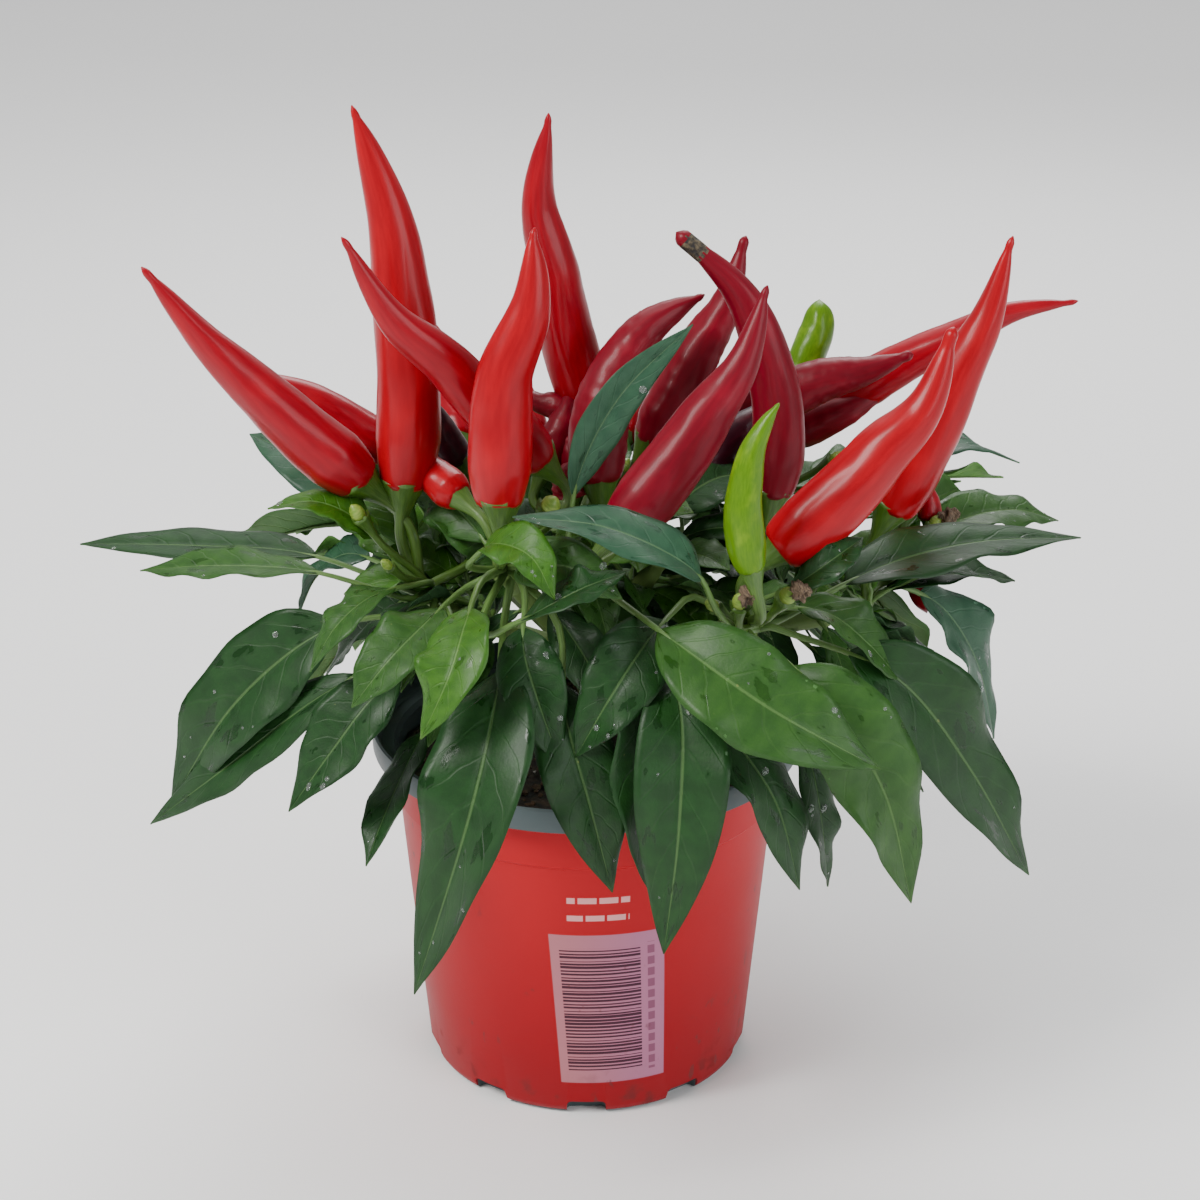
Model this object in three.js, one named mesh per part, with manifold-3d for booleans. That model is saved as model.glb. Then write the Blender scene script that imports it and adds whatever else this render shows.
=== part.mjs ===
// A young chilli pepper plant in a nursery pot, with upright ripe fruits over a skirt of leaves.
// Units are millimetres, +Z is up, and the origin is the middle of the pot's flat underside.
// -Y is the front of the plant, where the pot's printed label faces.

import * as THREE from 'three';
import { mergeVertices } from 'three/addons/utils/BufferGeometryUtils.js';
import Module from 'manifold-3d';

const wasm = await Module();
wasm.setup();

// ---- Driving dimensions ----

const GAP = 0.3; // clearance between neighbouring solids

const POT_HEIGHT = 88;
const RIM_RADIUS = 52.5;
const RIM_BAND = 6.2; // height of the plain band round the mouth
const WALL_TOP_RADIUS = 47.4; // outside of the tapered wall, just under the band
const WALL_FOOT_RADIUS = 40.4;
const FOOT_BEVEL = 2.4; // rounding between wall and underside
const WALL = 1.2; // plastic thickness
const POT_SIDES = 30;
const DRAIN_COUNT = 10; // notches round the lower edge
const DRAIN_WIDTH = 7;
const DRAIN_HEIGHT = 3.2;

const SOIL_TOP = 78;
const SOIL_SIDES = 20;
const SOIL_HUMP = 1.5; // the soil is this much higher near the wall than at the stem

const STEM_RADIUS = 3.3;
const FLARE_RADIUS = 6.2;
const FORK = [-1, -4, 104]; // where the stem divides

const BOUGH_BASE_RADIUS = 2.5;
const BOUGH_TIP_RADIUS = 1.7;
const STALK_RADIUS = 1.3; // fruit stalk where it leaves the bough

// Tips of the nine boughs, which are also the places where fruit stalks and leaves crowd together
const NODES = {
  left: [-38, -22, 127],
  front: [-18, -34, 137],
  middle: [-3, -8, 139],
  right_middle: [19, -18, 138],
  right_front: [37, -42, 126],
  right: [66, -4, 119],
  back_right: [46, 30, 133],
  back_left: [-34, 26, 128],
  back: [4, 50, 122],
};

// Fruits: the bough they hang on, where the stalk meets the fruit, the tip, the widest diameter,
// and how far the middle bows away from the straight line between them.
const fruit = (on, base, tip, girth, bow) => ({ on, base, tip, girth, bow });
const CHILLIES = {
  far_left: fruit('left', [-50, -21, 155], [-94, -30, 206], 14, [-1, 0, -1.5]),
  tall_left: fruit('left', [-41, -19, 153], [-50, -12, 237], 14, [5, 0, 0]),
  left_leaning: fruit('front', [-10, -24, 161], [-50, -42, 215], 13, [0, 0, -1.5]),
  front_hooked: fruit('front', [-18, -46, 158], [-10, -42, 217], 13, [-2.5, 0, 0]),
  tall_middle: fruit('middle', [1, 8, 161], [-8, 2, 233], 12.5, [-3.5, 0, 0]),
  dried: fruit('middle', [-1, -3, 152], [-17, 8, 168], 10, [3, 0, 2]),
  middle_arched: fruit('middle', [3, -16, 153], [27, -2, 193], 13, [-8, 0, 4]),
  middle_back: fruit('right_middle', [15, 6, 155], [37, 14, 203], 12, [1, 0, -1]),
  scarred: fruit('right_front', [43, -10, 148], [20, -10, 209], 12, [9, 0, 3]),
  front_right_leaning: fruit('right_middle', [8, -42, 152], [39, -30, 202], 13.5, [2.5, 0, -2]),
  maroon: fruit('right_middle', [18, -8, 146], [50, 12, 166], 11, [0, 0, 2]),
  wrinkled_right: fruit('back_right', [36, 22, 156], [78, 20, 173], 12, [0, 0, 2]),
  broad_right: fruit('right_front', [42, -44, 147], [78, -38, 195], 14, [3.5, 0, -2.5]),
  far_right_back: fruit('back_right', [62, 34, 157], [118, 28, 184], 11, [0, 0, 4]),
  right_upright: fruit('right', [71, -4, 142], [96, 0, 206], 14, [1.5, 0, 0]),
  green_front: fruit('right_front', [35, -59, 148], [40, -57, 184], 10.5, [-4, 0, 1]),
  green_back: fruit('back_right', [49, 43, 154], [58, 50, 179], 9, [2, 0, 0]),
  left_back: fruit('back_left', [-47, 16, 150], [-86, 12, 174], 11, [0, 0, 2]),
  small_orange: fruit('left', [-27, -22, 153], [-45, -5, 159], 9.5, [0, 0, 4]),
  hidden_back_left: fruit('back_left', [-32, 42, 144], [-40, 66, 170], 11.5, [0, 3, -3]),
  hidden_back: fruit('back', [8, 60, 140], [14, 82, 168], 12, [0, 4, -3]),
};

// Masses of leaves: drooping pads, each from its inner end over its knee to its outer tip,
// with the full width across and the full thickness. A turn, in degrees, rolls the upper face
// of a mass towards the front.
const pad = (root, knee, tip, width, thick, turn = 0) => ({ root, knee, tip, width, thick, turn });
const LEAVES = {
  left_upper: pad([-42, -20, 130], [-76, -18, 140], [-121, -2, 132], 26, 6),
  left_high: pad([-44, -6, 133], [-58, 8, 151], [-83, 25, 151], 24, 7),
  left_low: pad([-42, -34, 124], [-77, -36, 117], [-103, -20, 71], 27, 7, 35),
  left_inner: pad([-36, -40, 120], [-54, -48, 124], [-67, -46, 104], 22, 6, 30),
  rim_left: pad([-32, -44, 112], [-50, -54, 114], [-66, -54, 90], 22, 6, 30),
  young: pad([-24, -50, 139], [-24, -74, 143], [-34, -78, 117], 15, 6),
  front_left: pad([-20, -46, 124], [-16, -80, 128], [-37, -78, 57], 26, 7),
  front_pair: pad([-8, -50, 133], [-6, -64, 130], [-4, -68, 109], 26, 9),
  front: pad([-4, -46, 118], [-4, -68, 118], [6, -70, 77], 20, 7),
  front_long: pad([13, -46, 120], [24, -74, 126], [17, -78, 66], 26, 8),
  front_right: pad([8, -50, 137], [28, -78, 144], [62, -80, 111], 28, 7, 40),
  front_right_low: pad([30, -50, 116], [36, -68, 122], [47, -70, 75], 24, 7),
  right_low: pad([44, -52, 122], [62, -68, 126], [72, -64, 71], 30, 7, 20),
  right_drop: pad([46, -40, 121], [82, -44, 120], [105, -30, 60], 28, 7, 35),
  right_side: pad([72, 2, 117], [93, 10, 120], [103, 20, 72], 24, 7),
  right_upper: pad([45, -38, 129], [82, -20, 143], [118, 0, 133], 28, 6, 15),
  right_behind: pad([70, 12, 122], [92, 24, 134], [119, 30, 128], 20, 6),
  back_right_high: pad([54, 36, 127], [86, 58, 140], [114, 62, 133], 30, 7),
  centre: pad([28, -60, 138], [14, -72, 162], [-15, -64, 158], 18, 6, 20),
  upright: pad([-5, -36, 152], [-2, -40, 172], [23, -38, 195], 13, 4),
  back_left_high: pad([-40, 30, 129], [-64, 50, 142], [-90, 58, 116], 42, 9),
  back_left_low: pad([-30, 38, 116], [-54, 66, 120], [-66, 76, 68], 42, 10),
  back_high: pad([2, 56, 126], [-8, 86, 142], [-10, 112, 114], 44, 9),
  back_low: pad([8, 52, 112], [14, 86, 118], [20, 92, 62], 44, 10),
  back_right_low: pad([48, 40, 118], [78, 68, 126], [86, 76, 70], 42, 10),
  core_left: pad([-34, -8, 117], [-20, -4, 132], [-4, -22, 120], 34, 20),
  core_right: pad([10, -20, 120], [30, -12, 134], [52, -14, 121], 36, 20),
};

const FINISH = {
  pot: { color: 0xd63c3c, roughness: 0.45, metalness: 0 },
  soil: { color: 0x231c18, roughness: 0.95, metalness: 0 },
  bark: { color: 0x5e7a3c, roughness: 0.7, metalness: 0 },
  leaf: { color: 0x3c6b34, roughness: 0.5, metalness: 0 },
  ripe: { color: 0xc8101a, roughness: 0.25, metalness: 0 },
  unripe: { color: 0x86ac1e, roughness: 0.3, metalness: 0 },
};

// ---- Solids ----

const vector = (p) => new THREE.Vector3(...p);

// A geometry whose shared corners are merged, as a solid that can be cut
function toSolid(geometry) {
  geometry.deleteAttribute('normal');
  geometry.deleteAttribute('uv');
  const merged = mergeVertices(geometry, 1e-4);
  const mesh = new wasm.Mesh({
    numProp: 3,
    vertProperties: Float32Array.from(merged.attributes.position.array),
    triVerts: Uint32Array.from(merged.index.array),
  });
  return new wasm.Manifold(mesh);
}

function toGeometry(solid) {
  const { vertProperties, triVerts } = solid.getMesh();
  const geometry = new THREE.BufferGeometry();
  geometry.setAttribute('position', new THREE.BufferAttribute(Float32Array.from(vertProperties), 3));
  geometry.setIndex(new THREE.BufferAttribute(Uint32Array.from(triVerts), 1));
  geometry.computeVertexNormals();
  return geometry;
}

// A limb along a line of points: a closed unit cylinder whose rings are carried to the points.
// across(k, angle) gives a ring's reach in millimetres as [sideways, normal] half sizes.
function sweep(points, sides, across, sideways = new THREE.Vector3(1, 0, 0)) {
  const last = points.length - 1;
  const tangents = points.map((p, k) =>
    points[Math.min(k + 1, last)].clone().sub(points[Math.max(k - 1, 0)]).normalize());
  const frames = [];
  let side = sideways.clone();
  for (const tangent of tangents) {
    side = side.clone().addScaledVector(tangent, -side.dot(tangent)).normalize();
    frames.push({ side, normal: new THREE.Vector3().crossVectors(side, tangent) });
  }
  const cylinder = new THREE.CylinderGeometry(1, 1, 1, sides, last);
  cylinder.deleteAttribute('normal');
  cylinder.deleteAttribute('uv');
  const geometry = mergeVertices(cylinder, 1e-4);
  const position = geometry.attributes.position;
  for (let i = 0; i < position.count; i++) {
    const x = position.getX(i);
    const z = position.getZ(i);
    const ring = Math.round((position.getY(i) + 0.5) * last);
    const [reachSide, reachNormal] = across(ring, Math.atan2(z, x));
    const place = points[ring].clone()
      .addScaledVector(frames[ring].side, x * reachSide)
      .addScaledVector(frames[ring].normal, z * reachNormal);
    position.setXYZ(i, place.x, place.y, place.z);
  }
  return toSolid(geometry);
}

// The same line, longer by extra at both ends
function stretched(points, extra) {
  const longer = points.map((p) => p.clone());
  const last = longer.length - 1;
  longer[0].addScaledVector(points[0].clone().sub(points[1]).normalize(), extra);
  longer[last].addScaledVector(points[last].clone().sub(points[last - 1]).normalize(), extra);
  return longer;
}

// ---- Pot and soil ----

function wallRadius(z) {
  const bandFoot = POT_HEIGHT - RIM_BAND;
  return THREE.MathUtils.mapLinear(z, FOOT_BEVEL, bandFoot, WALL_FOOT_RADIUS, WALL_TOP_RADIUS);
}

// The pot's outline, thicker by extra on every side
function potSolid(extra) {
  const bandFoot = POT_HEIGHT - RIM_BAND - extra;
  const top = POT_HEIGHT + extra;
  const outline = [
    [0, -extra],
    [WALL_FOOT_RADIUS - FOOT_BEVEL + extra, -extra],
    [WALL_FOOT_RADIUS - FOOT_BEVEL * 0.3 + extra, FOOT_BEVEL * 0.3 - extra],
    [WALL_FOOT_RADIUS + extra, FOOT_BEVEL],
    [wallRadius(bandFoot) + extra, bandFoot],
    [RIM_RADIUS - 0.6 + extra, bandFoot + 0.2],
    [RIM_RADIUS + extra, bandFoot + 0.8],
    [RIM_RADIUS + extra, top - 0.8],
    [RIM_RADIUS - 0.8, top],
    [RIM_RADIUS - WALL - extra, top - 0.5],
    [RIM_RADIUS - WALL - extra, bandFoot + WALL + 2 * extra + 0.4],
    [wallRadius(bandFoot) - WALL - extra, bandFoot + WALL + 2 * extra],
    [WALL_FOOT_RADIUS - WALL - extra, FOOT_BEVEL + WALL + extra],
    [WALL_FOOT_RADIUS - FOOT_BEVEL - WALL - extra, WALL + extra],
    [0, WALL + extra],
  ].map(([r, z]) => new THREE.Vector2(r, z));
  const geometry = new THREE.LatheGeometry(outline, POT_SIDES);
  geometry.rotateX(Math.PI / 2);
  return toSolid(geometry);
}

function drainedPot() {
  let pot = potSolid(0);
  for (let k = 0; k < DRAIN_COUNT; k++) {
    const notch = new THREE.BoxGeometry(8, DRAIN_WIDTH, 2 * DRAIN_HEIGHT);
    notch.translate(WALL_FOOT_RADIUS, 0, 0);
    notch.rotateZ((2 * Math.PI * (k + 0.5)) / DRAIN_COUNT);
    pot = pot.subtract(toSolid(notch));
  }
  return pot;
}

function soilSolid() {
  const floor = WALL + GAP;
  const inset = WALL + GAP;
  const rimTop = SOIL_TOP + SOIL_HUMP;
  const outline = [
    [0, floor],
    [WALL_FOOT_RADIUS - FOOT_BEVEL - inset - 3, floor],
    [WALL_FOOT_RADIUS - inset - 0.6, FOOT_BEVEL + DRAIN_HEIGHT + 2],
    [wallRadius(rimTop) - inset - 0.4, rimTop],
    [RIM_RADIUS * 0.6, rimTop],
    [RIM_RADIUS * 0.3, SOIL_TOP],
    [0, SOIL_TOP],
  ].map(([r, z]) => new THREE.Vector2(r, z));
  const geometry = new THREE.LatheGeometry(outline, SOIL_SIDES);
  geometry.rotateX(Math.PI / 2);
  return toSolid(geometry);
}

// ---- Stem and boughs ----

function stemSolid(extra) {
  const foot = [1, 1, SOIL_TOP + GAP];
  const line = new THREE.CatmullRomCurve3([
    vector(foot), vector([foot[0], foot[1], foot[2] + 7]), vector([1, -1, 94]), vector(FORK),
  ]);
  const points = line.getPoints(6);
  points[1].x = foot[0];
  points[1].y = foot[1];
  const reach = (ring) => {
    const flare = Math.exp(-ring * 1.3) * (FLARE_RADIUS - STEM_RADIUS);
    return STEM_RADIUS + flare - 0.05 * ring + extra;
  };
  return sweep(points, 8, (ring, angle) => {
    const ribbed = reach(ring) * (1 + 0.12 * Math.exp(-ring) * Math.cos(4 * angle));
    return [ribbed, ribbed];
  });
}

// A bough leaves the fork inside the stem's end, rises, and levels out towards its node
function boughPoints(name) {
  const start = vector(FORK).add(new THREE.Vector3(0, 0, -2));
  const end = vector(NODES[name]);
  const knee = start.clone().lerp(end, 0.5);
  knee.z += name === 'right' ? -3 : 3;
  return new THREE.QuadraticBezierCurve3(start, knee, end).getPoints(4);
}

function boughSolid(name, extra) {
  const points = boughPoints(name);
  const radius = (ring) =>
    THREE.MathUtils.lerp(BOUGH_BASE_RADIUS, BOUGH_TIP_RADIUS, ring / (points.length - 1)) + extra;
  return sweep(stretched(points, extra), 5, (ring) => [radius(ring), radius(ring)]);
}

// ---- Fruits ----

const STALK_RINGS = 3; // rings on the stalk before the cap of sepals
const FRUIT_RINGS = 8;
const FRUIT_SIDES = 6;
const FACET_GAIN = 1.07; // a six-sided ring needs this to be as broad as the round fruit

// Radius along the fruit as a share of its widest: shoulder, full middle, long drawn-out tip
function fruitShare(t) {
  const shoulder = Math.sqrt(Math.min(1, 0.3 + t / 0.16));
  const taper = t < 0.42 ? 1 : 1 - 0.94 * Math.pow((t - 0.42) / 0.58, 1.55);
  return shoulder * taper;
}

function chilliSolid(spec, extra) {
  const node = vector(NODES[spec.on]);
  const base = vector(spec.base);
  const tip = vector(spec.tip);
  const middle = base.clone().lerp(tip, 0.5).addScaledVector(vector(spec.bow), 2);
  const fruit = new THREE.QuadraticBezierCurve3(base, middle, tip);
  const reach = base.distanceTo(node);
  const below = base.clone().addScaledVector(fruit.getTangent(0), -0.45 * reach);
  const stalk = new THREE.QuadraticBezierCurve3(node, below, base);
  const points = [...stalk.getPoints(STALK_RINGS).slice(0, -1), ...fruit.getPoints(FRUIT_RINGS)];
  const radius = (ring) => {
    if (ring < STALK_RINGS) return STALK_RADIUS + 0.25 * ring;
    return fruitShare((ring - STALK_RINGS) / FRUIT_RINGS) * spec.girth * 0.5 * FACET_GAIN;
  };
  return sweep(stretched(points, extra), FRUIT_SIDES, (ring) => {
    const reachHere = Math.max(radius(ring), 0.5) + extra;
    return [reachHere, reachHere];
  });
}

// ---- Masses of leaves ----

const LEAF_RINGS = 6;

// Half width along a mass as a share of its widest: narrow at the stalks, broad, then pointed
function leafShare(t) {
  return 0.06 + 0.94 * Math.sin(Math.PI * Math.pow(0.07 + 0.91 * t, 0.9));
}

function leafSolid(spec, seed) {
  const curve = new THREE.QuadraticBezierCurve3(vector(spec.root), vector(spec.knee), vector(spec.tip));
  const points = curve.getPoints(LEAF_RINGS);
  const outwards = vector(spec.tip).sub(vector(spec.root));
  const across = new THREE.Vector3(0, 0, 1).cross(outwards).normalize();
  across.z = across.y * Math.tan(THREE.MathUtils.degToRad(spec.turn));
  return sweep(points, 7, (ring, angle) => {
    const share = leafShare(ring / LEAF_RINGS);
    const lobes = 0.13 * Math.sin(3 * angle + 1.7 * ring + seed);
    const ripple = 0.08 * Math.sin(5 * angle - ring * seed);
    const uneven = 0.5 * (1 + lobes + ripple);
    return [spec.width * share * uneven, spec.thick * Math.sqrt(share) * uneven];
  }, across.negate().normalize());
}

// ---- Assembly ----

const plant = new THREE.Group();
const taken = []; // every solid placed so far, grown by the clearance

function place(name, solid, grown, finish) {
  if (grown) taken.push(grown);
  const mesh = new THREE.Mesh(toGeometry(solid), new THREE.MeshStandardMaterial(FINISH[finish]));
  mesh.name = name;
  plant.add(mesh);
}

// What is left of a solid after its neighbours and their clearance, without any loose scrap
function cleared(solid) {
  const cut = taken.reduce((rest, neighbour) => rest.subtract(neighbour), solid);
  return cut.decompose().reduce((best, piece) => (piece.volume() > best.volume() ? piece : best));
}

place('pot', drainedPot(), potSolid(GAP), 'pot');
place('compost', soilSolid(), null, 'soil');
place('main_stem', stemSolid(0), stemSolid(GAP), 'bark');
for (const name of Object.keys(NODES)) {
  place(`bough_${name}`, cleared(boughSolid(name, 0)), boughSolid(name, GAP), 'bark');
}
for (const [name, spec] of Object.entries(CHILLIES)) {
  const finish = name.startsWith('green') ? 'unripe' : 'ripe';
  place(`chilli_${name}`, cleared(chilliSolid(spec, 0)), chilliSolid(spec, GAP), finish);
}
Object.entries(LEAVES).forEach(([name, spec], index) => {
  const wider = { ...spec, width: spec.width + 2.5 * GAP, thick: spec.thick + 2.5 * GAP };
  place(`leaves_${name}`, cleared(leafSolid(spec, index + 1)), leafSolid(wider, index + 1), 'leaf');
});

export default plant;
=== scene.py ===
# A young chilli pepper plant in a red nursery pot: the looks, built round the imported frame.
# Lengths are in metres; mm turns millimetres into them. -Y is the front of the plant.

import math
import random

import bmesh
import bpy
import numpy as np
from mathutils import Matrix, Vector, noise


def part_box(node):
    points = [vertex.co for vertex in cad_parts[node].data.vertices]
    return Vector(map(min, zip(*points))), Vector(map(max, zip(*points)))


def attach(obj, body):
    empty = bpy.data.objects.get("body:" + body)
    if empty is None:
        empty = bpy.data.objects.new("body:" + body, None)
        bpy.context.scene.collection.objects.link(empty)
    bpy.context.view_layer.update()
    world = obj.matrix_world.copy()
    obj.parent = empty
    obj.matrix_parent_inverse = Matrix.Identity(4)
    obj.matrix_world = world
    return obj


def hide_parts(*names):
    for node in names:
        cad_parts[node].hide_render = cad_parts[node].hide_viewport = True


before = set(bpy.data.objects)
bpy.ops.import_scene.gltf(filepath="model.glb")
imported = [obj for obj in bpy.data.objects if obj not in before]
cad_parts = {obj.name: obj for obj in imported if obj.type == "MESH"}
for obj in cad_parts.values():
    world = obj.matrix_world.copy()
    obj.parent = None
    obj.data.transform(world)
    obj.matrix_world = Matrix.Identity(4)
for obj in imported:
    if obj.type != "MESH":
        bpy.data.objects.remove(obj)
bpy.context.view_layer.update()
mm = 0.001

# ---- Camera, light and floor ----
# The plant stands on a plain pale table with the same pale sheet curving up behind it.
# It is seen from a little above, in broad soft light from the upper left.

CAMERA_PLACE = (3.3 * mm, -500 * mm, 316 * mm)
CAMERA_PITCH = math.radians(90 - 21.6)
CAMERA_LENS = 67.5

camera = bpy.data.cameras.new("camera")
camera.lens = CAMERA_LENS
camera.clip_start = 0.01
camera_object = bpy.data.objects.new("camera", camera)
camera_object.location = CAMERA_PLACE
camera_object.rotation_euler = (CAMERA_PITCH, 0, 0)
bpy.context.scene.collection.objects.link(camera_object)
bpy.context.scene.camera = camera_object


def soft_light(name, place, size, power, tint):
    """A square lamp that faces the middle of the plant."""
    lamp = bpy.data.lights.new(name, "AREA")
    lamp.size = size
    lamp.energy = power
    lamp.color = tint
    holder = bpy.data.objects.new(name, lamp)
    holder.location = place
    aim = Vector((0, 0, 0.12)) - Vector(place)
    holder.rotation_euler = aim.to_track_quat("-Z", "Y").to_euler()
    bpy.context.scene.collection.objects.link(holder)


soft_light("key_light", (-0.75, -0.55, 1.05), 0.55, 21, (1.0, 0.98, 0.95))
soft_light("fill_light", (0.9, -0.7, 0.5), 0.7, 7, (0.95, 0.98, 1.0))
soft_light("back_light", (0.2, 0.9, 0.9), 0.6, 6, (1.0, 1.0, 1.0))
soft_light("overhead_light", (0, 1.9, 2.8), 3.0, 55, (1.0, 1.0, 1.0))

world = bpy.data.worlds.new("pale_room")
world.use_nodes = True
world.node_tree.nodes["Background"].inputs["Color"].default_value = (1, 1, 1, 1)
world.node_tree.nodes["Background"].inputs["Strength"].default_value = 0.46
bpy.context.scene.world = world

bpy.ops.object.select_all(action="DESELECT")
bpy.ops.mesh.primitive_plane_add(size=9, location=(0, 0, 0))
floor = bpy.context.object
floor.name = "floor"
bpy.ops.object.mode_set(mode="EDIT")
bpy.ops.mesh.select_mode(type="EDGE")
bpy.ops.mesh.select_all(action="DESELECT")
floor_mesh = bmesh.from_edit_mesh(floor.data)
for edge in floor_mesh.edges:
    edge.select = all(v.co.y > 4.4 for v in edge.verts)
bmesh.update_edit_mesh(floor.data)
bpy.ops.mesh.extrude_region_move(TRANSFORM_OT_translate={"value": (0, 0.6, 0.25)})
bpy.ops.mesh.extrude_region_move(TRANSFORM_OT_translate={"value": (0, 0.3, 2.5)})
bpy.ops.object.mode_set(mode="OBJECT")
floor_finish = bpy.data.materials.new("pale_sheet")
floor_finish.use_nodes = True
floor_shader = floor_finish.node_tree.nodes["Principled BSDF"]
floor_shader.inputs["Base Color"].default_value = (0.93, 0.93, 0.93, 1)
floor_shader.inputs["Roughness"].default_value = 0.8
floor.data.materials.append(floor_finish)


# ---- Pot ----
# A thin moulded nursery pot: a tapered wall under a broad rolled rim, grey plastic all through,
# with a red film fused to the outside of the wall. Water drains from notches round its foot.

class Shade:
    """A socket of a material; sums on it add Math nodes, and add() puts in any other node."""

    def __init__(self, tree, socket=None):
        self.tree = tree
        self.socket = socket

    def add(self, kind, settings=None, inputs=None, out=0):
        node = self.tree.nodes.new(kind)
        for name, value in (settings or {}).items():
            setattr(node, name, value)
        for name, value in (inputs or {}).items():
            if isinstance(value, Shade):
                self.tree.links.new(value.socket, node.inputs[name])
            else:
                node.inputs[name].default_value = value
        return Shade(self.tree, node.outputs[out])

    def math(self, operation, *values):
        return self.add("ShaderNodeMath", {"operation": operation}, dict(enumerate(values)))

    def __add__(self, other):
        return self.math("ADD", self, other)

    def __radd__(self, other):
        return self.math("ADD", other, self)

    def __sub__(self, other):
        return self.math("SUBTRACT", self, other)

    def __rsub__(self, other):
        return self.math("SUBTRACT", other, self)

    def __mul__(self, other):
        return self.math("MULTIPLY", self, other)

    def __rmul__(self, other):
        return self.math("MULTIPLY", other, self)

    def __truediv__(self, other):
        return self.math("DIVIDE", self, other)

    def step(self, low, high):
        """0 below low and 1 above high, with a smooth way between."""
        inputs = {"Value": self, "From Min": low, "From Max": high}
        return self.add("ShaderNodeMapRange", {"interpolation_type": "SMOOTHSTEP"}, inputs)

    def noise(self, where, scale, detail=3.0, stretch=None):
        if stretch:
            where = self.add("ShaderNodeMapping", None, {"Vector": where, "Scale": stretch})
        return self.add("ShaderNodeTexNoise", None, {"Vector": where, "Scale": scale, "Detail": detail})

    def mix(self, share, low, high):
        """A colour between two others."""
        node = self.tree.nodes.new("ShaderNodeMix")
        node.data_type = "RGBA"
        for index, value in ((0, share), (6, low), (7, high)):
            if isinstance(value, Shade):
                self.tree.links.new(value.socket, node.inputs[index])
            else:
                node.inputs[index].default_value = value if index == 0 else (*value, 1)
        return Shade(self.tree, node.outputs[2])


def new_finish(name, roughness, **constants):
    """A material with its shader's plain values; returns it with its shader and a Shade."""
    material = bpy.data.materials.new(name)
    material.use_nodes = True
    shader = material.node_tree.nodes["Principled BSDF"]
    shader.inputs["Roughness"].default_value = roughness
    for socket, value in constants.items():
        shader.inputs[socket.replace("_", " ")].default_value = value
    return material, shader, Shade(material.node_tree)


def wire(shade, shader, color=None, roughness=None, height=None, relief=0.001, strength=1.0):
    """Feeds a shader's colour, roughness and bump."""
    if color is not None:
        shade.tree.links.new(color.socket, shader.inputs["Base Color"])
    if roughness is not None:
        shade.tree.links.new(roughness.socket, shader.inputs["Roughness"])
    if height is not None:
        inputs = {"Height": height, "Distance": relief, "Strength": strength}
        bump = shade.add("ShaderNodeBump", None, inputs)
        shade.tree.links.new(bump.socket, shader.inputs["Normal"])


def place_of(shade):
    """The point on the piece, and its x, y and z, in metres."""
    point = shade.add("ShaderNodeTexCoord", out=3)
    split = shade.add("ShaderNodeSeparateXYZ", None, {"Vector": point})
    parts = split.socket.node.outputs
    return point, Shade(shade.tree, parts[0]), Shade(shade.tree, parts[1]), Shade(shade.tree, parts[2])


POT_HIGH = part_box("pot")[1]
RIM_RADIUS = POT_HIGH.x
POT_TOP = POT_HIGH.z
BAND_FOOT = POT_TOP - 6.2 * mm
STEP_HEIGHT = POT_TOP - 18 * mm  # a faint moulded step round the wall
WALL_TOP = RIM_RADIUS * 0.903
WALL_FOOT = RIM_RADIUS * 0.77
WALL = 1.2 * mm
POT_SIDES = 144


def wall_radius(z):
    return WALL_FOOT + (WALL_TOP - WALL_FOOT) * (z - 2.4 * mm) / (BAND_FOOT - 2.4 * mm)


def turned(name, outline, sides, closed_foot):
    """A round piece: a ring of vertices is extruded upwards and resized at each point of the outline."""
    bpy.ops.object.select_all(action="DESELECT")
    bpy.ops.mesh.primitive_circle_add(
        vertices=sides, radius=outline[0][0], location=(0, 0, outline[0][1]),
        fill_type="NGON" if closed_foot else "NOTHING")
    made = bpy.context.object
    made.name = name
    bpy.ops.object.transform_apply(location=True, rotation=True, scale=True)
    bpy.ops.object.mode_set(mode="EDIT")
    bpy.ops.mesh.select_mode(type="EDGE")
    bpy.ops.mesh.select_all(action="SELECT")
    for (r_before, z_before), (r, z) in zip(outline, outline[1:]):
        bpy.ops.mesh.extrude_edges_move(TRANSFORM_OT_translate={"value": (0, 0, z - z_before)})
        bpy.ops.transform.resize(value=(r / r_before, r / r_before, 1), center_override=(0, 0, z))
    bpy.ops.mesh.edge_face_add()
    bpy.ops.mesh.select_all(action="SELECT")
    bpy.ops.mesh.normals_make_consistent(inside=False)
    bpy.ops.object.mode_set(mode="OBJECT")
    return made


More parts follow.
